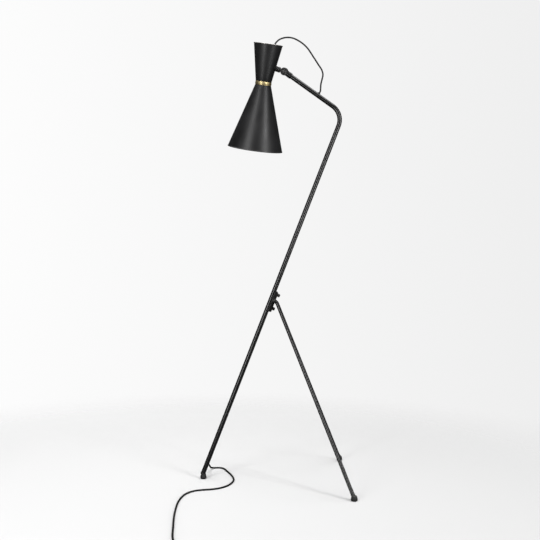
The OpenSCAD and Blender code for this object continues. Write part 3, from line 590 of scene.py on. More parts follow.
grip_plastic = finish(
    "ivory plastic", rgb(0.74, 0.69, 0.58), rgb(0.68, 0.62, 0.50), 0.45, ripples=1400, depth=0.00003,
    dust_amount=0.10,
)
holder_plastic = finish(
    "dark pressed resin", rgb(0.020, 0.015, 0.012), rgb(0.035, 0.022, 0.016), 0.28, ripples=500,
    depth=0.00002, wear_amount=0.3, under=rgb(0.08, 0.05, 0.035), dust_amount=0.12, coat=0.3,
)
porcelain = finish(
    "glazed porcelain", rgb(0.82, 0.80, 0.75), rgb(0.76, 0.73, 0.67), 0.20, ripples=400,
    depth=0.00003, dust_amount=0.05, coat=0.5,
)
print("finishes:", len(bpy.data.materials))

# %% [markdown]
# ### Bulb glass
# The bulb is etched inside, so it glows evenly when lit and looks milky when off. Its shader lets
# light through but scatters it: full transmission with a high roughness, and a fine etch in the bump.

# %% Glass
bulb_glass_finish, glass_tree, glass_shader = new_material("etched bulb glass")
glass_spot = add(glass_tree, "ShaderNodeTexCoord").outputs["Object"]
etch = place_group(glass_tree, skin, Place=glass_spot, Ripples_per_metre=2200.0)
milk = mix_colour(glass_tree, etch["Cloud"], rgb(0.96, 0.95, 0.92), rgb(0.90, 0.89, 0.86))
glass_tree.links.new(milk, glass_shader.inputs["Base Color"])
glass_tree.links.new(
    spread_value(glass_tree, etch["Cloud"], 0.3, 0.7, 0.34, 0.44), glass_shader.inputs["Roughness"]
)
etched = add(glass_tree, "ShaderNodeBump", {"Height": etch["Height"], "Distance": 0.00001})
glass_tree.links.new(etched.outputs[0], glass_shader.inputs["Normal"])
glass_shader.inputs["Transmission Weight"].default_value = 0.85
glass_shader.inputs["IOR"].default_value = 1.48


def dress(made, *materials):
    """Gives a piece or a frame node its finish, in place of what it came with."""
    marks = [0] * len(made.data.polygons)
    made.data.polygons.foreach_get("material_index", marks)
    made.data.materials.clear()
    for material in materials:
        made.data.materials.append(material)
    made.data.polygons.foreach_set("material_index", marks)


def fit(made, nodes, body, *materials):
    """Puts a piece in the place of frame nodes, lets it ride its body, and dresses it."""
    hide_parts(*nodes)
    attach(made, body)
    dress(made, *materials)


for cord in (lead_upper, lead_lower, mains_flex):
    dress(cord, cord_jacket)

# %% [markdown]
# ## Turned parts
# Most fittings of a lamp are turned on a lathe, and so are the spun cones of its shade. In Blender
# that is a spin: the half outline is drawn once as a chain of edges, its corners are rounded with a
# vertex bevel, and the chain is swept once round the axis. The points on the axis are merged after,
# so that the poles are closed.

# %% Lathe, bevels and joins
def round_off(bm, geom, width, segments, affect="EDGES", clamp=False):
    """Rounds off the given edges or corners."""
    bmesh.ops.bevel(
        bm, geom=geom, offset=width, offset_type="OFFSET", segments=segments, profile=0.5,
        affect=affect, material=-1, clamp_overlap=clamp,
    )


def lathe(outline, rounds=None, steps=64, closed=False):
    """Spins an outline of (radius, height) points round Z. rounds maps a corner to its radius."""
    bm = bmesh.new()
    corners = [bm.verts.new((radius, 0, height)) for radius, height in outline]
    chain = corners + corners[:1] if closed else corners
    for a, b in zip(chain, chain[1:]):
        if max(a.co.x, b.co.x) > 0:
            bm.edges.new((a, b))
    for corner, radius in (rounds or {}).items():
        round_off(bm, [corners[corner]], radius, 4, "VERTICES")
    bmesh.ops.spin(
        bm, geom=bm.verts[:] + bm.edges[:], cent=(0, 0, 0), axis=(0, 0, 1), angle=math.tau,
        steps=steps, use_merge=True,
    )
    bmesh.ops.remove_doubles(bm, verts=bm.verts, dist=1e-7)
    bmesh.ops.recalc_face_normals(bm, faces=bm.faces)
    return bm


def joined(*parts):
    """One bmesh of several, each a bmesh or a (bmesh, place) pair."""
    whole = bmesh.new()
    for part in parts:
        bm, place = part if isinstance(part, tuple) else (part, Matrix.Identity(4))
        bmesh.ops.transform(bm, matrix=place, verts=bm.verts)
        carrier = bpy.data.meshes.new("carrier")
        bm.to_mesh(carrier)
        bm.free()
        whole.from_mesh(carrier)
        bpy.data.meshes.remove(carrier)
    return whole


def soften(bm, width, angle=0.5, segments=3):
    """Bevels every edge that turns by more than the angle."""
    edges = [e for e in bm.edges if e.is_manifold and e.calc_face_angle(0) > angle]
    round_off(bm, edges, width, segments, clamp=True)
    return bm


def thicken(bm, step):
    """Extrudes the faces of a flat sheet by the step, and turns them all outwards."""
    made = bmesh.ops.extrude_face_region(bm, geom=bm.faces[:])["geom"]
    raised = [v for v in made if isinstance(v, bmesh.types.BMVert)]
    bmesh.ops.translate(bm, vec=step, verts=raised)
    bmesh.ops.recalc_face_normals(bm, faces=bm.faces)
    return bm


def hexagon(radius, height, width, segments, middle=0.0):
    """A six-sided nut with softened edges."""
    bm = bmesh.new()
    bmesh.ops.create_cone(
        bm, cap_ends=True, segments=6, radius1=radius, radius2=radius, depth=height,
        matrix=moved((0, 0, middle)),
    )
    return soften(bm, width, 0.5, segments)

# %% [markdown]
# ## The shade
# Two cones of spun sheet meet foot to foot on a brass ring. Each has a flat foot with six air holes
# round the nipple, a slightly coned wall, and a bead rolled outwards on its rim, which stiffens the
# edge and hides the cut sheet. The wall and bead are one spin. The foot is a flat sheet that is filled
# between its outline and its holes, and then given its thickness.

# %% Cones
neck_r, upper_rim_r, lower_rim_r = 0.0295, 0.0539, 0.1042
upper_h, lower_h, ring_h = 0.134, 0.236, 0.013
bead_r = 0.0015
nipple_r = 0.005
upper_foot = -head_rise
ring_foot = upper_foot - ring_h
OUTSIDE, INSIDE, RIM = 0, 1, 2


def cone_wall(height, rim_r, steps=144):
    """A cone of sheet on its foot at z = 0, with a bead rolled outwards round the rim."""
    slope = math.atan2(rim_r - neck_r, height)
    wall = sheet / math.cos(slope)
    bead_x, bead_z = rim_r - bead_r, height - bead_r
    outline = [(neck_r - 0.004, 0), (neck_r, 0)]
    outline += [
        (neck_r + (rim_r - bead_r - neck_r) * k / 6, (height - 2.2 * bead_r) * k / 6) for k in range(1, 7)
    ]
    outline += [
        (bead_x + bead_r * math.cos(a), bead_z + bead_r * math.sin(a))
        for a in (math.radians(-50 + 24 * k) for k in range(11))
    ]
    outline += [
        (neck_r - wall + (rim_r - neck_r) * k / 7, height * k / 7) for k in range(6, 0, -1)
    ]
    outline += [(neck_r - wall + 0.0002, sheet), (neck_r - 0.004, sheet)]
    bm = lathe(outline, {1: 0.0006}, steps, closed=True)
    for face in bm.faces:
        middle = face.calc_center_median()
        out = Vector((middle.x, middle.y, 0)).normalized()
        turns_in = face.normal.dot(out) < -0.2 or face.normal.z > 0.5
        below_bead = middle.z < height - 2 * bead_r
        face.material_index = RIM if not below_bead else INSIDE if turns_in else OUTSIDE
    return bm


def cone_foot(holes=6, hole_r=0.004):
    """The cone's flat foot: a sheet with a middle hole for the nipple and six air holes."""
    bm = bmesh.new()
    bmesh.ops.create_circle(bm, segments=96, radius=neck_r - 0.0038)
    bmesh.ops.create_circle(bm, segments=32, radius=nipple_r + 0.00002)
    ring_r = (neck_r + nipple_r) / 2 + 0.002
    for k in range(holes):
        place = turned(k * math.tau / holes, "Z") @ moved((ring_r, 0, 0))
        bmesh.ops.create_circle(bm, segments=24, radius=hole_r, matrix=place)
    bmesh.ops.triangle_fill(bm, use_beauty=True, use_dissolve=False, edges=bm.edges, normal=(0, 0, 1))
    thicken(bm, (0, 0, sheet))
    for face in bm.faces:
        face.material_index = INSIDE if face.normal.z > 0.5 else OUTSIDE
    return bm


def cone(name, height, rim_r, foot_z, node, way, rim_finish):
    """way is 1 for the cone that opens upwards and -1 for the one that opens downwards."""
    place = up_shade(foot_z)
    if way < 0:
        place = place @ turned(math.pi, "X")
    made = piece(name, joined(cone_wall(height, rim_r), cone_foot()), place)
    fit(made, [node], "head", shade_paint, inner_enamel, rim_finish)


# Only the upper cone's rim takes the painted highlight; the lower rim keeps the black paint.
cone("upper_cone", upper_h, upper_rim_r, upper_foot, "shade_upper", 1, rim_highlight_metal)
cone("lower_cone", lower_h, lower_rim_r, ring_foot, "shade_lower", -1, shade_paint)

# %% [markdown]
# ### Neck ring and lampholder
# The brass ring is turned with a soft barrel and a small shoulder at each edge. Inside, a threaded
# nipple clamps both cones; above it sit a nut and the grip that holds the lead, and below it the
# lampholder hangs with its cap, shell and collar, round the bulb's screw base.

# %% A turned piece in one call
def turned_piece(name, body, material, place, outline, rounds, steps, closed, node):
    fit(piece(name, lathe(outline, rounds, steps, closed), place), [node], body, material)


# %% Neck ring
swell, shoulder = 0.0009, 0.0016
ring_outline = [(neck_r - 0.003, 0), (neck_r + 0.0004, 0), (neck_r + 0.0004, shoulder), (neck_r, shoulder)]
ring_outline += [
    (neck_r + swell * math.sin(math.pi * k / 8), shoulder + (ring_h - 2 * shoulder) * k / 8)
    for k in range(9)
]
ring_outline += [
    (neck_r + 0.0004, ring_h - shoulder), (neck_r + 0.0004, ring_h), (neck_r - 0.003, ring_h),
]
turned_piece(
    "neck_ring_turned", "head", turned_brass, up_shade(ring_foot),
    ring_outline, {1: 0.0004, len(ring_outline) - 2: 0.0004}, 128, True, "neck_ring",
)

# %% Lampholder
cap_h, holder_l, holder_r, socket_r = 0.011, 0.040, 0.0195, 0.0155
holder_top = ring_foot - sheet - cap_h
holder_foot = holder_top - holder_l
turned_piece(
    "holder_cap_pressed", "head", holder_plastic, up_shade(holder_top),
    [
        (socket_r, 0), (holder_r, 0), (holder_r, 0.004), (holder_r - 0.002, 0.0085),
        (holder_r - 0.007, cap_h), (nipple_r + 0.00004, cap_h), (nipple_r + 0.00004, 0.004),
        (socket_r, 0.004),
    ],
    {1: 0.0004, 2: 0.0012, 3: 0.003, 4: 0.0015}, 96, True, "holder_cap",
)
shell_outline = [(socket_r, 0), (holder_r + 0.0015, 0), (holder_r + 0.0015, 0.006), (holder_r, 0.0065)]
for rib in range(8):
    shell_outline += [
        (holder_r, 0.010 + rib * 0.0034), (holder_r - 0.0005, 0.0106 + rib * 0.0034),
        (holder_r - 0.0005, 0.0122 + rib * 0.0034), (holder_r, 0.0128 + rib * 0.0034),
    ]
shell_outline += [(holder_r, holder_l - 0.0002), (socket_r, holder_l - 0.0002)]
turned_piece(
    "holder_shell_ribbed", "head", holder_plastic, up_shade(holder_foot),
    shell_outline, {1: 0.0012, 2: 0.0012}, 96, True, "holder_shell",
)
dress(frame["nodes"]["holder_contact"], porcelain)
dress(frame["nodes"]["inner_lead"], inner_cord)
turned_piece(
    "nipple_threaded", "head", blade_brass,
    up_shade(ring_foot - sheet - 0.009),
    [(0.0028, 0)]
    + [(nipple_r - 0.0005 * (k % 2), 0.0005 * k) for k in range(1, 66)]
    + [(nipple_r - 0.0005, 0.0332), (0.0028, 0.0332)],
    None, 48, True, "holder_nipple",
)
grip_foot = upper_foot + sheet + nipple_nut_h
turned_piece(
    "cord_grip_moulded", "head", grip_plastic, up_shade(grip_foot),
    [
        (nipple_r + 0.0001, 0), (0.0075, 0), (0.0075, 0.010), (0.0045, 0.0105), (0.0045, grip_h),
        (lead_d / 2, grip_h), (lead_d / 2, 0.006), (nipple_r + 0.0001, 0.006),
    ],
    {1: 0.0006, 2: 0.001, 3: 0.0008, 4: 0.0012}, 64, True, "cord_grip",
)

# %% [markdown]
# ### Bulb
# A standard bulb has a rolled screw thread on a bright shell, a dark glass insulator and a solder tip
# above, and below it a glass that leaves the neck in a long soft curve and ends in a sphere. The thread
# is drawn as rolled ridges; the glass is one outline, outside and inside, so that its wall is real.

# %% Bulb
screw_base_l, bulb_r, bulb_l = 0.028, 0.030, 0.086
thread = [(0.0, 0.0), (0.0118, 0.0)]
thread += [
    (0.0124 + 0.0006 * math.cos(math.tau * k / 6), 0.0015 + 0.003 * k / 6) for k in range(0, 37)
]
thread += [(0.0112, 0.0218), (0.0085, 0.0250), (0.0045, 0.0262), (0.0042, 0.0275), (0.0, screw_base_l)]
turned_piece(
    "bulb_screw_base", "head", bright_steel, up_shade(holder_foot),
    thread, None, 64, False, "bulb_base",
)


def bulb_curve(inset, points=26):
    """Neck to crown: a soft neck that runs into a sphere, as (radius, height below the holder)."""
    centre = bulb_r - bulb_l
    neck = [(0.0138 - inset, 0.0), (0.0143 - inset, -0.008), (0.0158 - inset, -0.016)]
    first = math.radians(30)
    ball = [
        ((bulb_r - inset) * math.cos(a), centre + (bulb_r - inset) * math.sin(a))
        for a in (first - (first + math.pi / 2) * k / points for k in range(points + 1))
    ]
    ball[-1] = (0.0, ball[-1][1])
    return neck + [(0.0198 - inset, -0.028)] + ball


turned_piece(
    "bulb_glass_blown", "head", bulb_glass_finish, up_shade(holder_foot),
    bulb_curve(0) + bulb_curve(0.001)[::-1], None, 96, True, "bulb_glass",
)

# %% [markdown]
# ## The tubes
# Pole and arm are one length of tube, bent over a former. A bend is drawn as an arc that touches both
# straight lines, so the tube keeps its round section and its highlight runs on through the bend.

# %% A line with rounded corners
def rounded_line(corners, radii, step=math.radians(4)):
    """Straight lines between the corners, joined by arcs that touch both."""
    corners = [Vector(c) for c in corners]
    line = [corners[0]]
    for before, corner, after, radius in zip(corners, corners[1:], corners[2:], radii):
        into, out = (corner - before).normalized(), (after - corner).normalized()
        turn = into.angle(out)
        axis = into.cross(out).normalized()
        start = corner - into * radius * math.tan(turn / 2)
        centre = start + radius * axis.cross(into)
        count = max(2, round(turn / step))
        for k in range(count + 1):
            line.append(centre + Matrix.Rotation(turn * k / count, 3, axis) @ (start - centre))
    return line + [corners[-1]]


# %% Pole, bend and arm
arm_end = 0.02505
bent_line = rounded_line([pole_foot + 0.017 * pole_dir, elbow, knuckle + arm_end * arm_dir], [bend_r])
bent_tube = piece("bent_tube", sweep(bent_line, pole_r, 48))
fit(bent_tube, ["pole_tube", "pole_bend", "arm_tube"], "stand", tube_paint)
print("tube", round(line_length(bent_line), 3), "m")

# %% [markdown]
# ### Rear legs
# Each leg hangs from the pivot by a short eye, kicks out from the pole and then runs straight to its
# foot. The eye is a turned boss with rounded edges; the tube starts inside it and bends at the knee.
# Parts that turn on each other are kept a little play apart.

# %% Rear legs
bracket_w, play = 0.019, 0.00035
leg_eye_y = bracket_w / 2 + play + leg_r
kick, kick_l = math.radians(50), 0.013
leg_reach, leg_track, leg_aim_h, leg_end_h = 0.523, 0.534, 0.009, 0.013
foot_r, foot_h = 0.0113, 0.019
FOOT_OUTLINE = [
    (0, 0.0006), (foot_r - 0.0060, 0.0006), (foot_r - 0.0056, 0), (foot_r, 0), (foot_r, foot_h * 0.52),
    (foot_r - 0.0032, foot_h), (0, foot_h),
]
FOOT_ROUNDS = {3: 0.0048, 4: 0.0060, 5: 0.0032}


def rubber_foot(name, place, body, node, lip_place, tube_r):
    """A moulded foot with a rolled lip round the tube that is pressed into it."""
    lip = lathe(
        [(tube_r - 0.001, 0), (tube_r + 0.0012, 0), (tube_r + 0.0012, 0.0035), (tube_r - 0.001, 0.0035)],
        {1: 0.0005, 2: 0.0010}, 48, True,
    )
    moulded = lathe(FOOT_OUTLINE, FOOT_ROUNDS, 72)
    made = piece(name, joined((moulded, moved(place)), (lip, lip_place)))
    fit(made, [node], body, foot_rubber)


def rear_leg(name, side, body, node):
    eye = leg_pivot + Vector((0, side * leg_eye_y, 0))
    knee = eye + kick_l * Vector((math.sin(kick), 0, -math.cos(kick)))
    aim = Vector((leg_reach, side * leg_track / 2, leg_aim_h))
    low = (aim - knee).normalized()
    end = knee + low * ((knee.z - leg_end_h) / -low.z)
    line = rounded_line([eye, knee, end], [0.009], math.radians(5))
    boss = lathe(
        [(0.0031, -leg_r), (leg_r, -leg_r), (leg_r, leg_r), (0.0031, leg_r)],
        {1: 0.0009, 2: 0.0009}, 48, True,
    )
    made = piece(
        name, joined(sweep(line, leg_r, 36), (boss, moved(eye) @ turned(math.pi / 2, "X")))
    )
    fit(made, [node], body, tube_paint)
    up = -low
    lip_at = moved(end + up * 0.0065) @ up.to_track_quat("Z", "Y").to_matrix().to_4x4()
    rubber_foot(node + "_rubber", (aim.x, aim.y, 0), body, node + "_foot", lip_at, leg_r)
    print(name, "runs", round((end - knee).length, 3), "m from the knee")


rear_leg("right_leg_tube", -1, "right_leg", "leg_right")
rear_leg("left_leg_tube", 1, "left_leg", "leg_left")
rubber_foot("front_foot_rubber", (0, 0, 0), "stand", "foot_front", on_pole(0.0205), pole_r)

# %% [markdown]
# ### Bracket and its screws
# The bracket is a block milled to sit on the tube, with its long corners broken so that it looks slim.
# Two knurled screws clamp it, and the legs turn on a bolt with a domed nut at each end. The block is an
# outline that is extruded and bevelled; the knurls are small faces pushed in one by one.

# %% Bracket block
bracket_l, bracket_face, pivot_s = 0.079, pole_r + 0.009, 0.706


def block(outline, width):
    """An outline in the XZ plane, extruded to its width along Y."""
    bm = bmesh.new()
    bm.faces.new([bm.verts.new((x, -width / 2, z)) for x, z in outline])
    return thicken(bm, (0, width, 0))


low, high = -bracket_l * 0.56, bracket_l * 0.44
bracket = soften(
    block(
        [
            (0.004, low), (bracket_face - 0.003, low), (bracket_face, low + 0.003),
            (bracket_face, high - 0.005), (bracket_face - 0.005, high), (0.004, high),
        ],
        bracket_w,
    ),
    0.0012, 0.4, 3,
)
bracket = piece("bracket_block", bracket, on_pole(pivot_s))
fit(bracket, ["leg_bracket"], "stand", fitting_paint)

# %% Knurled screws, bolt and domed nuts
def knurled(radius, height, teeth=30):
    """A turned knob whose rim faces are pushed in one by one, with a slot milled into its top."""
    bm = lathe(
        [(0, 0), (radius - 0.0008, 0), (radius, 0.0008), (radius, height - 0.0022),
         (radius - 0.0008, height - 0.0014), (radius - 0.0014, height - 0.0014),
         (radius - 0.0022, height), (0.0016, height), (0.0016, height - 0.0012), (0, height - 0.0012)],
        None, teeth,
    )
    rim = [f for f in bm.faces if abs(f.normal.z) < 0.1 and f.calc_center_median().xy.length > radius * 0.97]
    bmesh.ops.inset_individual(bm, faces=rim, thickness=0.00022, depth=-0.00028, use_even_offset=True)
    return bm


screw_places = [0.44 * bracket_l - 0.012, 0.015 - 0.56 * bracket_l]
knobs = joined(*[
    (knurled(0.006, 0.009), on_pole(pivot_s + s) @ turned(math.pi / 2, "Y") @ moved((0, 0, bracket_face)))
    for s in screw_places
])
knobs = piece("bracket_knobs", knobs, sharp=math.radians(25))
fit(knobs, ["bracket_screws"], "stand", dark_steel)
dress(frame["nodes"]["pivot_bolt"], dark_steel)


def domed_nut():
    """A six-sided nut with a turned dome on its far end."""
    dome = lathe(
        [
            (0.0046, 0.0022), (0.0045, 0.0032), (0.0040, 0.0044), (0.0029, 0.0053), (0.0014, 0.0057),
            (0, 0.0058),
        ],
        None, 40,
    )
    return joined(hexagon(0.0055, 0.0025, 0.0003, 2, 0.00125), dome)


nut_y = leg_eye_y + leg_r + play
nuts = joined(*[
    (domed_nut(), moved(leg_pivot) @ turned(side, "Z") @ moved((0, nut_y, 0)) @ turned(-math.pi / 2, "X"))
    for side in (0, math.pi)
])
nuts = piece("pivot_domed_nuts", nuts)
fit(nuts, ["pivot_nuts"], "stand", dark_steel)

# %% [markdown]
# ### Grommets
# Where a cord enters a tube, a rubber grommet keeps the edge of the hole off its jacket. It has a
# body in the hole and a rounded lip outside, and its bore grips the cord.

# %% Grommets
def grommet(name, place, cord_r, node):
    lip = cord_r + 0.003
    turned_piece(
        name, "stand", foot_rubber, place,
        [
            (cord_r, pole_r - 0.002), (cord_r + 0.0016, pole_r - 0.002), (cord_r + 0.0016, pole_r - 0.0002),
            (lip, pole_r - 0.0006), (lip, pole_r + 0.0012), (cord_r + 0.0018, pole_r + 0.0020),
            (cord_r, pole_r + 0.0020),
        ],
        {3: 0.0004, 4: 0.0008, 5: 0.0010}, 48, True, node,
    )


grommet("mains_grommet_lip", on_pole(mains_hole_at) @ turned(-math.pi / 2, "X"), mains_r, "mains_grommet")
grommet("lead_grommet_lip", on_arm(lead_hole_at) @ turned(-math.pi / 2, "Y"), lead_d / 2, "lead_grommet")

# %% [markdown]
# ## The knuckle
# The head hangs on a two-way knuckle. A fork turns in a ferrule on the arm's end, and a tongue tilts
# between the fork's round cheeks, clamped by a slotted screw and a nut. Small turned parts catch the
# light with their rims and grooves, so each is drawn with its own steps and rounded corners.

# %% Ferrule
ferrule_r, knuckle_r, cheek_in, cheek_w = 0.0109, 0.014, 0.00435, 0.0055
fork_base, fork_base_h = knuckle_r + 0.0015, 0.0052
ferrule_t = fork_base + fork_base_h + play
turned_piece(
    "arm_ferrule_turned", "stand", fitting_paint, on_arm(ferrule_t),
    [
        (0.00408, 0), (ferrule_r, 0), (ferrule_r, 0.0034), (ferrule_r - 0.0020, 0.0038),
        (ferrule_r - 0.0020, 0.0050), (ferrule_r, 0.0054), (ferrule_r, 0.0080),
        (pole_r + 0.001, 0.0086), (pole_r + 0.001, 0.011), (pole_r - 0.0002, 0.011), (pole_r - 0.0002, 0.004),
        (0.00408, 0.004),
    ],
    {1: 0.0007, 2: 0.0003, 5: 0.0003, 6: 0.0006, 8: 0.0006}, 80, True, "arm_ferrule",
)

# %% Fork
def cheek():
    """A round cheek, turned with a shallow ring round its screw."""
    return lathe(
        [
            (0.00302, 0), (knuckle_r, 0), (knuckle_r, cheek_w), (0.0112, cheek_w), (0.0108, cheek_w - 0.0007),
            (0.0078, cheek_w - 0.0007), (0.0074, cheek_w), (0.00302, cheek_w),
        ],
        {1: 0.0005, 2: 0.0012, 3: 0.0003, 6: 0.0003}, 80, True,
    )


def neck():
    """The plate that runs from a cheek to the fork's base."""
    plate = block(
        [(-0.0105, 0.0070), (0.0105, 0.0070), (ferrule_r - 0.0012, fork_base + 0.001),
         (0.0012 - ferrule_r, fork_base + 0.001)],
        cheek_w - 0.0002,
    )
    return soften(plate, 0.0006, 0.4, 3)


fork_parts = []
for side in (-1, 1):
    fork_parts.append((cheek(), moved((0, side * cheek_in, 0)) @ turned(-side * math.pi / 2, "X")))
    fork_parts.append((neck(), moved((0, side * (cheek_in + cheek_w / 2), 0))))
fork_parts.append((
    lathe(
        [(0, 0), (ferrule_r - 0.0006, 0), (ferrule_r - 0.0006, fork_base_h), (0.004, fork_base_h),
         (0.004, fork_base_h + 0.0118), (0, fork_base_h + 0.0118)],
        {1: 0.0012, 2: 0.0009}, 80,
    ),
    moved((0, 0, fork_base)),
))
fork = piece("swivel_fork_turned", joined(*fork_parts), on_swivel)
fit(fork, ["swivel_fork"], "swivel", fitting_paint)
dress(frame["nodes"]["swivel_nut"], bright_steel)

# %% Clamp screw and nut
clamp_head_r, clamp_head_h, cheek_out = 0.0065, 0.0035, cheek_in + cheek_w


def slotted_head():
    """A low domed head with its slot cut right across."""
    bm = lathe(
        [(0, 0), (clamp_head_r, 0), (clamp_head_r, clamp_head_h - 0.0012), (0.0045, clamp_head_h - 0.0003),
         (0.0022, clamp_head_h), (0, clamp_head_h)],
        {1: 0.0003, 2: 0.0006}, 64,
    )
    slot_half, floor = 0.0008, clamp_head_h - 0.0013
    for cut in (-slot_half - 0.0001, -slot_half, slot_half, slot_half + 0.0001):
        bmesh.ops.bisect_plane(
            bm, geom=bm.verts[:] + bm.edges[:] + bm.faces[:], plane_co=(cut, 0, 0), plane_no=(1, 0, 0)
        )
    for v in bm.verts:
        if abs(v.co.x) < slot_half + 1e-6 and v.co.z > floor:
            v.co.z = floor
    return bm


clamp = joined(
    (slotted_head(), moved((0, -cheek_out + 0.0004, 0)) @ turned(math.pi / 2, "X")),
    (lathe([(0, 0), (0.003, 0), (0.003, 0.0245), (0, 0.0245)], {2: 0.0006}, 40),
     moved((0, -cheek_out, 0)) @ turned(-math.pi / 2, "X")),
)
clamp = piece("clamp_screw_slotted", clamp, on_swivel)
fit(clamp, ["clamp_screw"], "swivel", dark_steel)

clamp_nut_h = 0.005
clamp_nut = piece(
    "clamp_nut_hex", hexagon(0.0065, clamp_nut_h, 0.0005, 3),
    on_swivel @ moved((0, cheek_out + clamp_nut_h / 2, 0)) @ turned(math.pi / 2, "X"),
)
fit(clamp_nut, ["clamp_nut"], "swivel", dark_steel)

# %% [markdown]
# ### Tongue and boss
# The tongue is a round disc between the cheeks. Its stud enters a boss that is turned with two soft
# swells and a groove, and the boss seats on the curved wall of the upper cone. Its end is hollow, so
# that only its rim meets the wall.

# %% Tongue and boss
upper_slope = math.atan2(upper_rim_r - neck_r, upper_h)
wall_at = (head_off - (neck_r + head_rise * math.tan(upper_slope))) * math.cos(upper_slope)
on_boss = on_head @ turned(upper_slope - math.pi / 2, "Y")
boss_start, boss_r, tongue_w = knuckle_r + 0.00135, 0.010, 0.008
tongue = joined(
    (lathe([(0.00308, -tongue_w / 2), (0.0133, -tongue_w / 2),
            (0.0133, tongue_w / 2), (0.00308, tongue_w / 2)],
           {1: 0.0008, 2: 0.0008}, 80, True), on_head @ turned(math.pi / 2, "X")),
    (lathe([(0, 0.0093), (0.004, 0.0093), (0.004, wall_at - 0.0084), (0, wall_at - 0.0084)],
           None, 40), on_boss),
)
tongue = piece("head_tongue_turned", tongue)
fit(tongue, ["head_tongue"], "head", fitting_paint)

boss_l = wall_at + 0.0011 - boss_start
waist = boss_l * 0.52
turned_piece(
    "head_boss_turned", "head", fitting_paint, on_boss @ moved((0, 0, boss_start)),
    [
        (0.00402, 0), (boss_r - 0.0015, 0), (boss_r, 0.0015), (boss_r, waist - 0.0012),
        (boss_r - 0.0018, waist), (boss_r, waist + 0.0012), (boss_r, boss_l), (boss_r - 0.003, boss_l),
        (boss_r - 0.004, boss_l - 0.003), (0.00402, boss_l - 0.003),
    ],
    {1: 0.0006, 2: 0.0020, 3: 0.0012, 4: 0.0006, 5: 0.0012}, 80, True, "head_boss",
)
dress(frame["nodes"]["boss_screw"], bright_steel)
nipple_hex = piece(
    "nipple_nut_hex", hexagon(0.0085, nipple_nut_h, 0.0004, 2),
    up_shade(upper_foot + sheet + nipple_nut_h / 2),
)
fit(nipple_hex, ["nipple_nut"], "head", blade_brass)

# %% [markdown]
# ## Foot switch, tie and plug
# The case of an in-line foot switch has a long outline with round ends, in two halves that meet in a
# fine seam. The outline is one half circle at each end, made by a spin; the halves are that outline,
# extruded and bevelled. The key is a low dome with ridges for a shoe's grip.

# %% Rounded outline and case halves
def long_round(half, radius, z0, z1, steps=20):
    """A solid with straight sides and round ends, from z0 to z1."""
    bm = bmesh.new()
    for sign in (1, -1):
        tip = bm.verts.new((sign * half, -sign * radius, z0))
        bmesh.ops.spin(
            bm, geom=[tip], cent=(sign * half, 0, z0), axis=(0, 0, 1), angle=math.pi, steps=steps,
        )
    ends = [v for v in bm.verts if len(v.link_edges) == 1]
    for level in (-radius, radius):
        bm.edges.new([v for v in ends if abs(v.co.y - level) < 1e-6])
    bmesh.ops.edgeloop_fill(bm, edges=bm.edges[:])
    return thicken(bm, (0, 0, z1 - z0))


def bevel_rim(bm, z, width, segments=4):
    """Rounds off the edges that lie at that height."""
    level = [e for e in bm.edges if all(abs(v.co.z - z) < 1e-6 for v in e.verts)]
    round_off(bm, level, width, segments)
    return bm


# %% Foot switch
switch_w, switch_h, key_r, key_out = 0.034, 0.019, 0.011, 0.004
half_l = switch_l / 2 - 0.012 - switch_w / 2
switch_place = moved((switch_x, line_y, 0))


def ribs(first, growth, groove, heights, pitch, count=6):
    """Ribs that grow along a sleeve, as (radius, height) corners."""
    corners = []
    for k in range(count):
        rise = first + growth * k
        foot, top, low, end = (height + pitch * k for height in heights)
        corners += [(rise, foot), (rise, top), (rise - groove, low), (rise - groove, end)]
    return corners


def sleeve():
    """A ribbed sleeve that keeps the cord from kinking where it enters the case."""
    outline = [(mains_r, 0), (mains_r + 0.0012, 0)]
    outline += ribs(mains_r + 0.0013, 0.00028, 0.0005, (0.0012, 0.0030, 0.0033, 0.0040), 0.003)
    outline += [(mains_r + 0.003, 0.0195), (mains_r, 0.0195)]
    return lathe(outline, None, 40, True)


base_parts = [bevel_rim(long_round(half_l, switch_w / 2, 0, switch_z - 0.0002), 0, 0.0015)]
for side in (0, math.pi):
    base_parts.append((
        sleeve(), turned(side, "Z") @ moved((switch_l / 2, 0, switch_z)) @ turned(-math.pi / 2, "Y")
    ))
switch_case = piece("switch_base_case", joined(*base_parts), switch_place)
lid = bevel_rim(long_round(half_l, switch_w / 2, switch_z + 0.0002, switch_h), switch_h, 0.0042, 6)
well = lathe(
    [(key_r + 0.0003, switch_h - 0.002), (key_r + 0.0004, switch_h), (key_r + 0.0014, switch_h + 0.0005),
     (key_r + 0.0024, switch_h)],
    None, 64,
)
switch_cover = piece("switch_lid_case", joined(lid, well), switch_place)
key = [(0, switch_h - 0.0048), (key_r, switch_h - 0.0048), (key_r, switch_h + key_out - 0.0018)]
for k in range(5):
    step_in = key_r - 0.0016 - 0.0018 * k
    top = switch_h + key_out - 0.0008
    ridge = top + 0.0007
    key += [(step_in, top), (step_in - 0.0005, ridge), (step_in - 0.0009, ridge), (step_in - 0.0013, top)]
key.append((0, switch_h + key_out - 0.0008))
switch_key = piece("switch_key_ridged", lathe(key, {2: 0.0008}, 72), switch_place)
for made, node, body, material in (
    (switch_case, "switch_base", "stand", black_plastic),
    (switch_cover, "switch_lid", "stand", black_plastic),
    (switch_key, "switch_button", "switch_key", key_plastic),
):
    fit(made, [node], body, material)
dress(frame["nodes"]["switch_screws"], bright_steel)

# %% [markdown]
# The plug is moulded round its cord: a flat oval body with finger grooves, a tapered and slotted
# strain relief, and two blades with the small hole that a socket's spring snaps into. The hole is made
# in the blade's outline, which is filled between its edge and the hole before it gets its thickness.

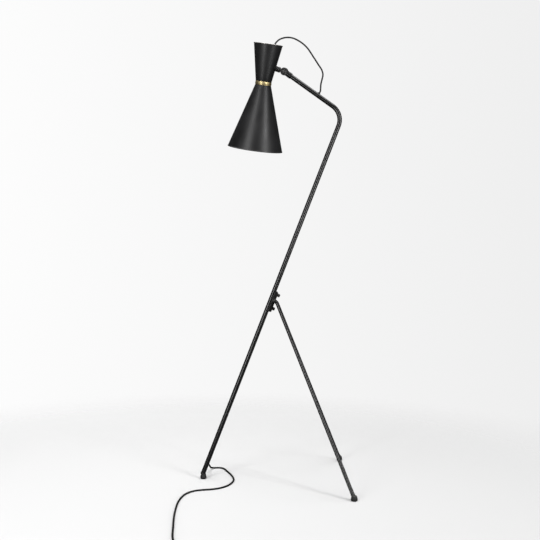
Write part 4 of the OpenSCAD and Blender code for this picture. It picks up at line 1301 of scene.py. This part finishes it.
# %% Plug
plug_l, plug_w, blade_l, blade_w, blade_t, blade_gap = 0.034, 0.025, 0.017, 0.0063, 0.0015, 0.0127
plug_place = moved((plug_x, line_y, plug_h / 2)) @ turned(math.pi / 2, "Y") @ turned(math.pi / 2, "Z")
body = long_round((plug_w - plug_h) / 2, plug_h / 2, 0, plug_l, 16)
bevel_rim(body, 0, 0.0028, 5)
bevel_rim(body, plug_l, 0.0012, 3)
for groove in range(4):
    at = 0.009 + 0.0042 * groove
    for offset, squeeze in ((0.0, 1.0), (0.0007, 0.93), (0.0017, 0.93), (0.0024, 1.0)):
        cut = bmesh.ops.bisect_plane(
            body, geom=body.verts[:] + body.edges[:] + body.faces[:], plane_co=(0, 0, at + offset),
            plane_no=(0, 0, 1),
        )["geom_cut"]
        ring = [v for v in cut if isinstance(v, bmesh.types.BMVert)]
        bmesh.ops.scale(body, vec=(squeeze, squeeze, 1), verts=ring)
relief = [(mains_r, 0), (mains_r + 0.0008, 0)]
relief += ribs(mains_r + 0.001, 0.00034, 0.0006, (0.001, 0.0031, 0.0034, 0.0045), 0.0038)
relief += [(mains_r + 0.003, relief_l), (mains_r + 0.003, relief_l + 0.001), (mains_r, relief_l + 0.001)]
plug = piece(
    "plug_moulded", joined(body, (lathe(relief, None, 40, True), moved((0, 0, -relief_l)))),
    plug_place,
)


def blade():
    """A flat blade with a round hole near its tip and a rounded end."""
    bm = bmesh.new()
    bmesh.ops.create_grid(bm, x_segments=1, y_segments=1, size=0.5)
    bmesh.ops.scale(bm, vec=(blade_w, blade_l + 0.004, 1), verts=bm.verts)
    bmesh.ops.translate(bm, vec=(0, (blade_l - 0.004) / 2, 0), verts=bm.verts)
    tips = [v for v in bm.verts if v.co.y > 0]
    round_off(bm, tips, 0.0014, 4, "VERTICES")
    bmesh.ops.delete(bm, geom=bm.faces[:], context="FACES_ONLY")
    bmesh.ops.create_circle(bm, segments=24, radius=0.0015, matrix=moved((0, blade_l - 0.0045, 0)))
    bmesh.ops.triangle_fill(bm, use_beauty=True, edges=bm.edges, normal=(0, 0, 1))
    return soften(thicken(bm, (0, 0, blade_t)), 0.0002, 0.6, 2)


# The blade's width stands up, its length runs along X and its thickness along Y.
BLADE_TURN = Matrix(((0, 1, 0, 0), (0, 0, 1, 0), (1, 0, 0, 0), (0, 0, 0, 1)))
blades = joined(*[
    (
        blade(),
        moved((plug_x + plug_l, line_y + side * blade_gap / 2 - blade_t / 2, plug_h / 2)) @ BLADE_TURN,
    )
    for side in (-1, 1)
])
blades = piece("plug_blades_stamped", blades)
for made, node, material in ((plug, "plug_body", black_plastic), (blades, "plug_blades", blade_brass)):
    fit(made, [node], "stand", material)

# %% [markdown]
# The coil is held by one short strap. It is a band round the coil's section: an outline with rounded
# corners, given its thickness inwards and its width along the cord.

# %% Coil tie
tie_w, tie_t = 0.009, 0.001
strap = bmesh.new()
bmesh.ops.create_grid(strap, x_segments=1, y_segments=1, size=0.5)
bmesh.ops.scale(strap, vec=(2 * mains_d + 2 * tie_t, 2 * mains_d + tie_t, 1), verts=strap.verts)
round_off(strap, strap.verts[:], 0.003, 5, "VERTICES")
bmesh.ops.delete(strap, geom=strap.faces[:], context="FACES_ONLY")
made = bmesh.ops.extrude_edge_only(strap, edges=strap.edges[:])["geom"]
raised = [v for v in made if isinstance(v, bmesh.types.BMVert)]
bmesh.ops.translate(strap, vec=(0, 0, tie_w), verts=raised)
bmesh.ops.recalc_face_normals(strap, faces=strap.faces)
bmesh.ops.solidify(strap, geom=strap.faces[:], thickness=tie_t * 0.85)
bmesh.ops.recalc_face_normals(strap, faces=strap.faces)
tie_place = moved((coil_x - tie_w / 2, line_y - 2 * coil_r, mains_d + tie_t / 2))
# The band's width runs along X, and its outline stands across the cord.
STRAP_TURN = Matrix(((0, 0, 1, 0), (1, 0, 0, 0), (0, 1, 0, 0), (0, 0, 0, 1)))
strap = piece("coil_strap", strap, tie_place @ STRAP_TURN)
fit(strap, ["coil_tie"], "stand", foot_rubber)

# %% [markdown]
# ## What the cord is
# The mains cord is one length, from its grommet through the foot switch and the coil to the plug.

# %% [markdown]
# ## Floor and light
# The lamp stands in a pale studio. The floor is a wide disc that fades out before its edge, so that
# floor and background are one tone with no horizon, and it can't be seen from below. Two tall soft
# boxes beside the camera lay the long soft highlights on the cones and tubes, and a wide one overhead
# lights the floor and the rims.

# %% Floor
# The floor's colour is painted light and shade: lighter on the left and darker on the right, like the
# backdrop, and darker at the front, where it evens out the soft boxes' light.
FLOOR_FRONT, FLOOR_BACK = 0.62, 0.84
FLOOR_LEFT, FLOOR_RIGHT = 1.165, 0.90
FLOOR_IN_MIRRORS = 0.08
FLOOR_R, FADE_FROM, FADE_TO = 9.0, 0.5, 2.0
floor_mesh = bmesh.new()
bmesh.ops.create_circle(floor_mesh, cap_ends=True, segments=96, radius=FLOOR_R)
floor_data = bpy.data.meshes.new("floor")
floor_mesh.to_mesh(floor_data)
floor_mesh.free()
floor = bpy.data.objects.new("floor", floor_data)
scene.collection.objects.link(floor)
floor_paint, tree, shader = new_material("pale floor")
shader.inputs["Roughness"].default_value = 0.9
shader.inputs["Specular IOR Level"].default_value = 0.1
spot = add(tree, "ShaderNodeTexCoord").outputs["Object"]
over = add(tree, "ShaderNodeSeparateXYZ", {0: spot})
pale = math_node(
    tree, "MULTIPLY", spread_value(tree, over.outputs[0], -0.7, 1.2, FLOOR_LEFT, FLOOR_RIGHT),
    spread_value(tree, over.outputs[1], -0.6, 1.2, FLOOR_FRONT, FLOOR_BACK),
)
# The floor is painted darker in reflections, a painted shade on what the lamp's surfaces mirror.
mirrored = add(tree, "ShaderNodeLightPath").outputs["Is Glossy Ray"]
pale = math_node(tree, "MULTIPLY", pale, spread_value(tree, mirrored, 0.0, 1.0, 1.0, FLOOR_IN_MIRRORS))
tree.links.new(pale, shader.inputs["Base Color"])
reach = add(tree, "ShaderNodeVectorMath", {0: spot}, operation="LENGTH").outputs["Value"]
fade = add(
    tree, "ShaderNodeMapRange", {0: reach, 1: FADE_FROM, 2: FADE_TO, 3: 0.0, 4: 1.0},
    interpolation_type="SMOOTHSTEP",
).outputs[0]
clear = add(tree, "ShaderNodeBsdfTransparent")
underside = add(tree, "ShaderNodeNewGeometry").outputs["Backfacing"]
gone = math_node(tree, "MAXIMUM", fade, underside)
blend_floor = add(tree, "ShaderNodeMixShader", {0: gone, 1: shader.outputs[0], 2: clear.outputs[0]})
tree.links.new(blend_floor.outputs[0], tree.nodes["Material Output"].inputs["Surface"])
floor_data.materials.append(floor_paint)

# %% Background and soft boxes
world = bpy.data.worlds.new("studio")
scene.world = world
world.use_nodes = True
tree = world.node_tree
# The backdrop is painted lighter on the left than on the right, a painted fall of light that only the camera
# sees; everything else sees a dim grey.
direction = add(tree, "ShaderNodeTexCoord").outputs["Generated"]
across = add(tree, "ShaderNodeSeparateXYZ", {0: direction}).outputs[0]
share = spread_value(tree, across, -0.35, 0.35, 0.0, 1.0)
backdrop = mix_colour(tree, share, rgb(0.98, 0.98, 0.98), rgb(0.86, 0.86, 0.86))
seen = add(tree, "ShaderNodeLightPath").outputs["Is Camera Ray"]
tone = mix_colour(tree, seen, rgb(0.045, 0.045, 0.045), backdrop)
tree.links.new(tone, tree.nodes["Background"].inputs["Color"])

lamp_middle = Vector((0.25, 0, 0.8))


def soft_box(name, place, aim, width, height, power):
    light = bpy.data.lights.new(name, "AREA")
    light.shape, light.size, light.size_y, light.energy = "RECTANGLE", width, height, power
    made = bpy.data.objects.new(name, light)
    made.location = place
    made.rotation_euler = (Vector(aim) - Vector(place)).to_track_quat("-Z", "Y").to_euler()
    made.visible_camera = False
    scene.collection.objects.link(made)


def beside_camera(angle, distance, height):
    """A place at that angle from the camera's side of the lamp."""
    return (lamp_middle.x + distance * math.sin(angle), -distance * math.cos(angle), height)


BOX_AWAY, BOX_AT_H, BOX_AIM, BOX_W, BOX_H = 2.6, 1.4, (0.25, 0, 1.2), 0.5, 2.5
for box_name, box_angle, box_power in (("left_box", -32, 50), ("right_box", 46, 54)):
    box_place = beside_camera(math.radians(box_angle), BOX_AWAY, BOX_AT_H)
    soft_box(box_name, box_place, BOX_AIM, BOX_W, BOX_H, box_power)
soft_box("top_box", (0.3, -0.2, 3.4), (0.3, 0, 0), 3.0, 3.0, 125)
scene.view_settings.view_transform = "Standard"
